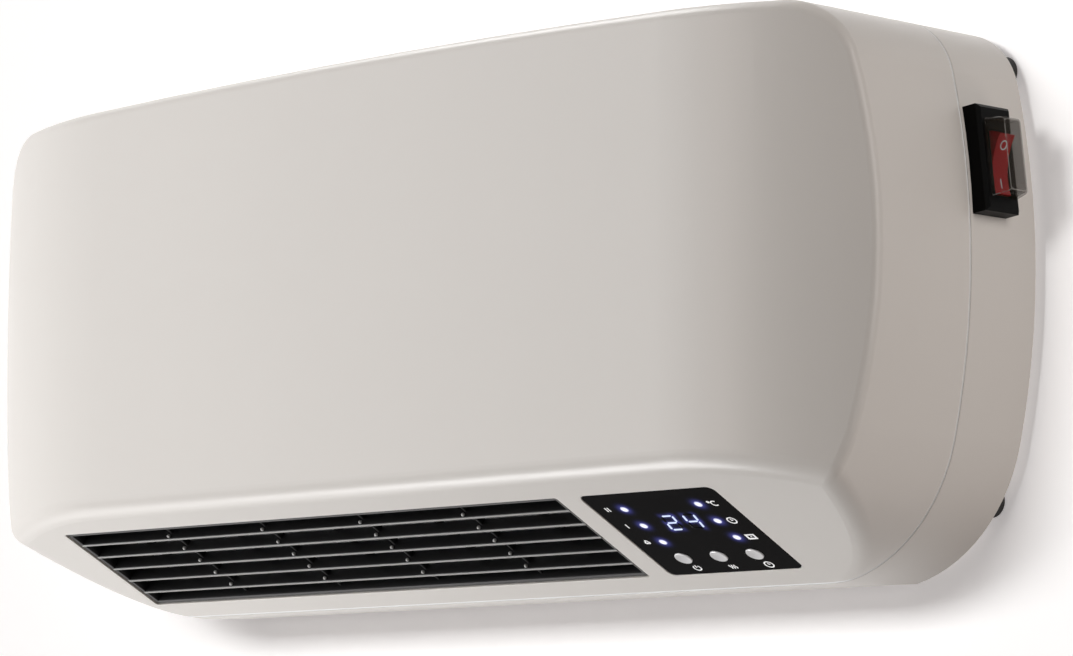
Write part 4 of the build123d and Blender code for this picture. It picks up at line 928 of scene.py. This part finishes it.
# %% Ink
# The ink glows a little: a painted glow that keeps the marks pale on the dark panel.
glowing_ink_finish = Finish("white_ink", Roughness=0.5, Emission_Color=(1, 1, 1), Emission_Strength=0.35)
glowing_ink_finish.mottle(0.0006, (0.55, 0.55, 0.56), (0.8, 0.8, 0.8), 3.0)
ribbon = Recipe("ink_ribbon", Line=0.00055, Film=0.00005)
ink_path = ribbon.node("GeometryNodeMeshToCurve", None, Mesh=ribbon.path)
ink_profile = ribbon.node(
    "GeometryNodeCurvePrimitiveQuadrilateral",
    None,
    Width=ribbon.size["Line"],
    Height=ribbon.size["Film"],
)
ribbon.close(ribbon.sweep(ink_path, ink_profile), glowing_ink_finish)
print("ink ready")

# %% [markdown]
# The marks are the usual ones for heat levels, fan, temperature, timer, open window and power. Each
# has a place on the panel and a few strokes round its own middle, in millimetres.


# %% Panel marks
def shift(strokes, x, y):
    """Strokes moved across the panel."""
    return [[(px + x, py + y) for px, py in stroke] for stroke in strokes]


def turned(stroke, degrees):
    """A stroke turned round its origin."""
    cos, sin = math.cos(math.radians(degrees)), math.sin(math.radians(degrees))
    return [(x * cos - y * sin, x * sin + y * cos) for x, y in stroke]


wave = [(0.32 * math.sin(n * math.pi / 5), -1.15 + 0.23 * n) for n in range(11)]
dial = [arc((0, 0), 1.75, 0, 360, 32), [(0, 1.0), (0, 0), (0.75, 0.35)]]
blade = arc((0.62, 0.0), 0.5, -150, 150, 12)
marks = {
    "level_two": (-26.1, 16.8, [[(-0.6, -1.25), (-0.6, 1.25)], [(0.6, -1.25), (0.6, 1.25)]]),
    "level_one": (-26.1, 5.9, [[(0, -1.25), (0, 1.25)]]),
    "fan": (-25.7, -4.8, [turned(blade, angle) for angle in (90, 210, 330)]),
    "degrees": (21.8, 16.2, [arc((-1.45, 1.0), 0.42, 0, 360, 12), arc((0.75, 0), 1.35, 50, 310)]),
    "timer": (21.5, 5.2, dial),
    "window": (
        21.7,
        -5.4,
        [
            [(-1.9, -1.4), (1.9, -1.4), (1.9, 1.4), (-1.9, 1.4), (-1.9, -1.4)],
            [(-1.5, -1.0), (1.5, -1.0), (1.5, 1.0), (-1.5, 1.0), (-1.5, -1.0)],
            [(-0.3, 0.0), (0.3, 0.0)],
        ],
    ),
    "power": (-17.0, -22.8, [arc((0, 0), 1.5, 125, 415, 28), [(0, 0.3), (0, 1.8)]]),
    "heat": (-0.8, -23.3, shift([wave], -1.1, 0) + [wave] + shift([wave], 1.1, 0)),
    "clock": (15.6, -23.2, dial),
}
shift_x, shift_y, panel_sunk, ink_proud = 1.6, 0.3, 0.15, 0.02
strokes = []
for x, y, shape in marks.values():
    strokes += shift(shape, x + shift_x, y + shift_y)
strokes = [[(x * MM, y * MM) for x, y in stroke] for stroke in strokes]
printed = ribbon.make(
    "panel_marks",
    face_matrix(panel_centre, ink_proud - panel_sunk),
    path=lines_mesh("marks", strokes),
)
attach(printed, "heater")
print("printed marks:", len(marks), "with", len(strokes), "strokes")

# %% [markdown]
# ## The mains switch
#
# The rocker sits in a black box on the tilted side wall. Its face is hollow, like a shallow
# saddle, so a mark printed on it has to follow that curve. The ring and the bar are the usual
# marks for off and on. Everything is drawn in the rocker's own directions and then put in place.

# %% Where the rocker sits
side_radius, side_x, side_z = 264.1, -39.1, 13.1  # the side wall's arc and its centre
switch_y, switch_z = -29.35, 42.75
switch_rise = switch_z - side_z
pivot_out, pivot_drop = 4.4, 1.7
tilt = math.asin(switch_rise / side_radius)
side_out = Vector((math.cos(tilt), 0, math.sin(tilt)))
side_up = Vector((-math.sin(tilt), 0, math.cos(tilt)))
switch_x = side_x + math.sqrt(side_radius**2 - switch_rise**2)
switch_middle = Vector((switch_x, switch_y, switch_z)) * MM
pivot = switch_middle + (side_out * pivot_out - side_up * pivot_drop) * MM
throw = math.radians(12.0)
rocker_up = side_up * math.cos(throw) + side_out * math.sin(throw)
rocker_out = Vector((0, 1, 0)).cross(rocker_up)
face_middle, rocker_half = 1.6, 10.8
face_end = face_middle + rocker_half * math.tan(throw)
end_reach = math.sqrt(rocker_half**2 - face_end**2)
hollow = face_end - face_middle
hollow_radius = (end_reach**2 + hollow**2) / (2 * hollow)
print("pivot, mm:", [round(v / MM, 1) for v in pivot])

# %% [markdown]
# The same ribbon of ink draws the ring and the bar. It isn't pressed flat onto the rocker by a
# modifier: each of its points is worked out on the hollow, which keeps it exactly above the curve.


# %% Rocker marks
def on_rocker(across, along, proud=0.03):
    """A point on the hollow face: across is Y, along runs up the rocker, in millimetres."""
    level = face_middle + hollow_radius - math.sqrt(hollow_radius**2 - along**2) + proud
    return pivot + (Vector((0, across, 0)) + rocker_up * along + rocker_out * level) * MM


ring_level, ring_radius, bar_foot, bar_step = 6.4, 1.45, -8.0, 0.4
ring = [on_rocker(x, y + ring_level) for x, y in arc((0, 0), ring_radius, 0, 360, 32)]
bar = [on_rocker(0, bar_foot + bar_step * n) for n in range(9)]
switch_marks = ribbon.make(
    "rocker_marks", path=lines_mesh("rocker_paths", [ring, bar]), Line=0.00036, Film=0.00008
)
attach(switch_marks, "rocker")
print("rocker marks placed at", [round(v / MM, 1) for v in on_rocker(0, ring_level)])

# %% [markdown]
# ## The smoky cover
#
# The cover is a hollow box of thin clear plastic with sloping walls. Clear plastic shows itself
# through its edges, which gather light, so its corners are rounded and take a paler colour than its
# walls: a painted highlight. It has an outer and an inner skin: light is dimmed at each, as in the
# real thing. The walls lean in by different amounts, so the skins are built of rounded rectangles
# that are stacked like rings, where a bevelled box would lean in evenly.

# %% Rings of the cover
cover_shift, cover_foot, cover_height = 0.8, 6.0, 6.2
foot_across, foot_along = 6.95, 13.5  # half sizes at the foot
draw_across, draw_along = 1.95, 0.6  # how far the walls lean in over the height
thickness, round_from, rounding = 0.7, 5.0, 1.2
outer_corner, inner_corner = 1.3, 0.7
corner_steps = 5


def cover_ring(work, level, inset, radius):
    """A rounded rectangle of vertices, at a level above the foot and inset from the outside."""
    half_across = foot_across - draw_across * level / cover_height - inset
    half_along = foot_along - draw_along * level / cover_height - inset
    ring = []
    for sx, sy, start in ((1, 1, 0), (-1, 1, 90), (-1, -1, 180), (1, -1, 270)):
        corner = (sx * (half_across - radius), sy * (half_along - radius))
        for x, y in arc(corner, radius, start, start + 90, corner_steps):
            out = side_out * (cover_foot + level)
            place = Vector((0, x + cover_shift, 0)) + side_up * y + out
            ring.append(work.verts.new(switch_middle + place * MM))
    return ring


def edge_inset(level):
    """How far the rounded outer edge has drawn in at a level."""
    share = max(0.0, level - round_from) / rounding
    return 1 - math.sqrt(max(0.0, 1 - share**2))


print("half the cover's top, mm:", foot_across - draw_across - edge_inset(cover_height))


# %% Cover
def skin(work, rings, highlight_row=None):
    """Joins rings into a wall and closes the last. A highlight row gives edges the painted
    highlight.
    """
    for row, (low, high) in enumerate(zip(rings, rings[1:])):
        for n in range(len(low)):
            m = (n + 1) % len(low)
            face = work.faces.new((low[n], low[m], high[m], high[n]))
            if highlight_row is not None:
                # Corner faces and the top rows take the painted highlight.
                on_corner = n % (corner_steps + 1) == corner_steps // 2
                face.material_index = int(on_corner or row >= highlight_row)
    work.faces.new(rings[-1])


work = bmesh.new()
outer_levels = (0.0, 4.9, 5.5, 5.9, 6.12, cover_height)
outer = [cover_ring(work, level, edge_inset(level), outer_corner) for level in outer_levels]
inner_levels = (0.0, cover_height - thickness)
inner = [cover_ring(work, level, thickness, inner_corner) for level in inner_levels]
skin(work, outer, highlight_row=4)
skin(work, inner)
for n in range(len(outer[0])):
    m = (n + 1) % len(outer[0])
    work.faces.new((outer[0][m], outer[0][n], inner[0][n], inner[0][m]))
bmesh.ops.recalc_face_normals(work, faces=work.faces)
mesh = finished(work, "cover", cover_finish, cover_edge_highlight_finish)
cover = placed("rocker_cover", mesh, smooth=35.0)
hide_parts("switch_cover")
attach(cover, "heater")
print("cover:", len(mesh.polygons), "faces")

# %% [markdown]
# ## The room
#
# The heater hangs on a white wall above a pale floor. Both are seen only from their front side, so
# that the heater's back can still be looked at. The wall shows itself only to the camera and in
# reflections: light passes it freely, and so the lamp behind it reaches the heater's back.


# %% Wall and floor
def shown_rays(sheet):
    """1 for the rays that show a thing: from the camera, by a reflection or through plastic."""
    paths = sheet.node("ShaderNodeLightPath")
    shown = paths["Is Camera Ray"]
    for kind in ("Is Glossy Ray", "Is Transmission Ray"):
        shown = sheet.maths("MAXIMUM", shown, paths[kind])
    return shown


def backdrop(name, corners, colour, glow):
    """A one-sided sheet that only the camera and reflections see, and that keeps its shadow."""
    material = bpy.data.materials.new(name)
    material.use_nodes = True
    sheet = Sheet(material.node_tree)
    front = shown_rays(sheet) * (1.0 - sheet.node("ShaderNodeNewGeometry")["Backfacing"])
    matte = sheet.node("ShaderNodeBsdfDiffuse", None, Color=(*colour, 1))
    light = sheet.node("ShaderNodeEmission", None, Color=(1.0, 0.95, 0.95, 1), Strength=glow)
    lit = sheet.node("ShaderNodeAddShader", None, _0=matte, _1=light)
    clear = sheet.node("ShaderNodeBsdfTransparent")
    both = sheet.node("ShaderNodeMixShader", None, _0=front, _1=clear, _2=lit)
    sheet.node("ShaderNodeOutputMaterial", None, Surface=both)
    mesh = bpy.data.meshes.new(name)
    mesh.from_pydata(corners, [], [tuple(range(len(corners)))])
    mesh.materials.append(material)
    made = add(bpy.data.objects.new(name, mesh))
    return made


half_room, room_front, room_top, wall_y, floor_z = 3.0, -4.0, 2.0, 0.0004, -1.2
foot_left, foot_right = (-half_room, wall_y, floor_z), (half_room, wall_y, floor_z)
wall = backdrop(
    "wall",
    [foot_left, foot_right, (half_room, wall_y, room_top), (-half_room, wall_y, room_top)],
    linear(255, 254, 253),
    0.33,
)
floor = backdrop(
    "floor",
    [(-half_room, room_front, floor_z), (half_room, room_front, floor_z), foot_right, foot_left],
    linear(246, 244, 242),
    0.7,
)
print("wall and floor placed")

# %% [markdown]
# ## The light
#
# Satin plastic shows its form through broad, soft reflections. Large softboxes on the left make the
# long gradient along the front, and a tall narrow one draws the slower fall where the front starts
# to curve. Warmer ones on the right lift the side. Those from below left fill the slanted face and
# draw the bright line along its upper edge, and one above the front draws the pale line along the
# top rim. One more stands behind the wall, which lets light through, and shows the heater's back.
#
# A white wall needs far more light than the heater does. Light linking solves this: one lamp, high
# and almost straight in front, shines on the wall alone and lets the heater cast its soft shadow
# there, while all the others leave the wall out.


# %% Lamps
def lit_group(name, state):
    """A list for lamps: INCLUDE lights the room alone, EXCLUDE lights all but the room."""
    group = bpy.data.collections.new(name)
    for thing in (wall, floor):
        group.objects.link(thing)
    for entry in group.collection_objects:
        entry.light_linking.link_state = state
    return group


room_alone = lit_group("room_alone", "INCLUDE")
all_but_room = lit_group("all_but_room", "EXCLUDE")


def softbox(name, place, aim, size, power, colour=(1, 1, 1), lights=all_but_room):
    """A rectangular area lamp at a place, turned towards a point."""
    data = bpy.data.lights.new(name, "AREA")
    data.shape = "RECTANGLE"
    data.size, data.size_y = size
    data.energy = power
    data.color = colour
    made = add(bpy.data.objects.new(name, data))
    made.location = place
    made.rotation_euler = (Vector(aim) - Vector(place)).to_track_quat("-Z", "Y").to_euler()
    made.visible_camera = False
    made.light_linking.receiver_collection = lights


softbox("wall_wash", (0.0, -2.9, 0.66), (0, 0, 0), (1.3, 0.7), 57.0, lights=room_alone)
softbox("high_left", (-1.6, -1.5, 0.7), (-0.05, -0.05, 0.0), (1.6, 1.6), 4.3)
softbox("front_left", (-1.45, -1.65, 0.15), (-0.05, -0.05, 0.0), (1.3, 1.1), 8.3)
softbox("far_left", (-1.9, -0.7, 0.1), (-0.1, -0.08, 0.0), (0.8, 1.6), 2.1)
softbox("low_left", (-0.71, -0.62, -0.92), (0.0, -0.1, -0.08), (0.4, 0.5), 8.8)
softbox("under_left", (-0.6, -0.25, -0.5), (-0.15, -0.08, -0.08), (0.4, 0.4), 0.9)
softbox("tall_strip", (-0.75, -2.4, 0.35), (0.12, -0.1, 0.0), (0.25, 1.6), 6.5, (1.0, 0.88, 0.82))
softbox("top_strip", (-0.55, -0.3, 0.95), (0.0, -0.09, 0.09), (0.9, 0.4), 7.5)
softbox("right", (1.7, -0.3, 0.5), (0.2, -0.05, 0.0), (0.9, 1.2), 11.8, (1.0, 0.94, 0.9))
softbox("low_right", (0.9, 0.6, -0.9), (0.2, -0.05, -0.05), (0.9, 0.6), 2.6, (1.0, 0.84, 0.75))
softbox("behind", (0.2, 2.2, 0.4), (0.0, 0.0, 0.0), (1.8, 1.8), 12.0)

# %% [markdown]
# The world does two jobs. On surfaces it is a weak, soft fill that keeps shadows from going black.
# For the camera, reflections and clear plastic it is plain white, so that the background is white
# without any more light on the heater.

# %% World
world = bpy.data.worlds.new("studio")
world.use_nodes = True
bpy.context.scene.world = world
air = Sheet(world.node_tree)
soft = air.node("ShaderNodeBackground", None, Color=(1.0, 0.985, 0.97, 1), Strength=0.06)
white = air.node("ShaderNodeBackground", None, Color=(1.0, 1.0, 1.0, 1), Strength=1.0)
both = air.node("ShaderNodeMixShader", None, _0=shown_rays(air), _1=soft, _2=white)
air.node("ShaderNodeOutputWorld", None, Surface=both)
bpy.context.scene.view_settings.view_transform = "Standard"
print("world set")

# %% [markdown]
# ## Closing
#
# The scene is brought up to date at the end.

# %% Update
bpy.context.view_layer.update()
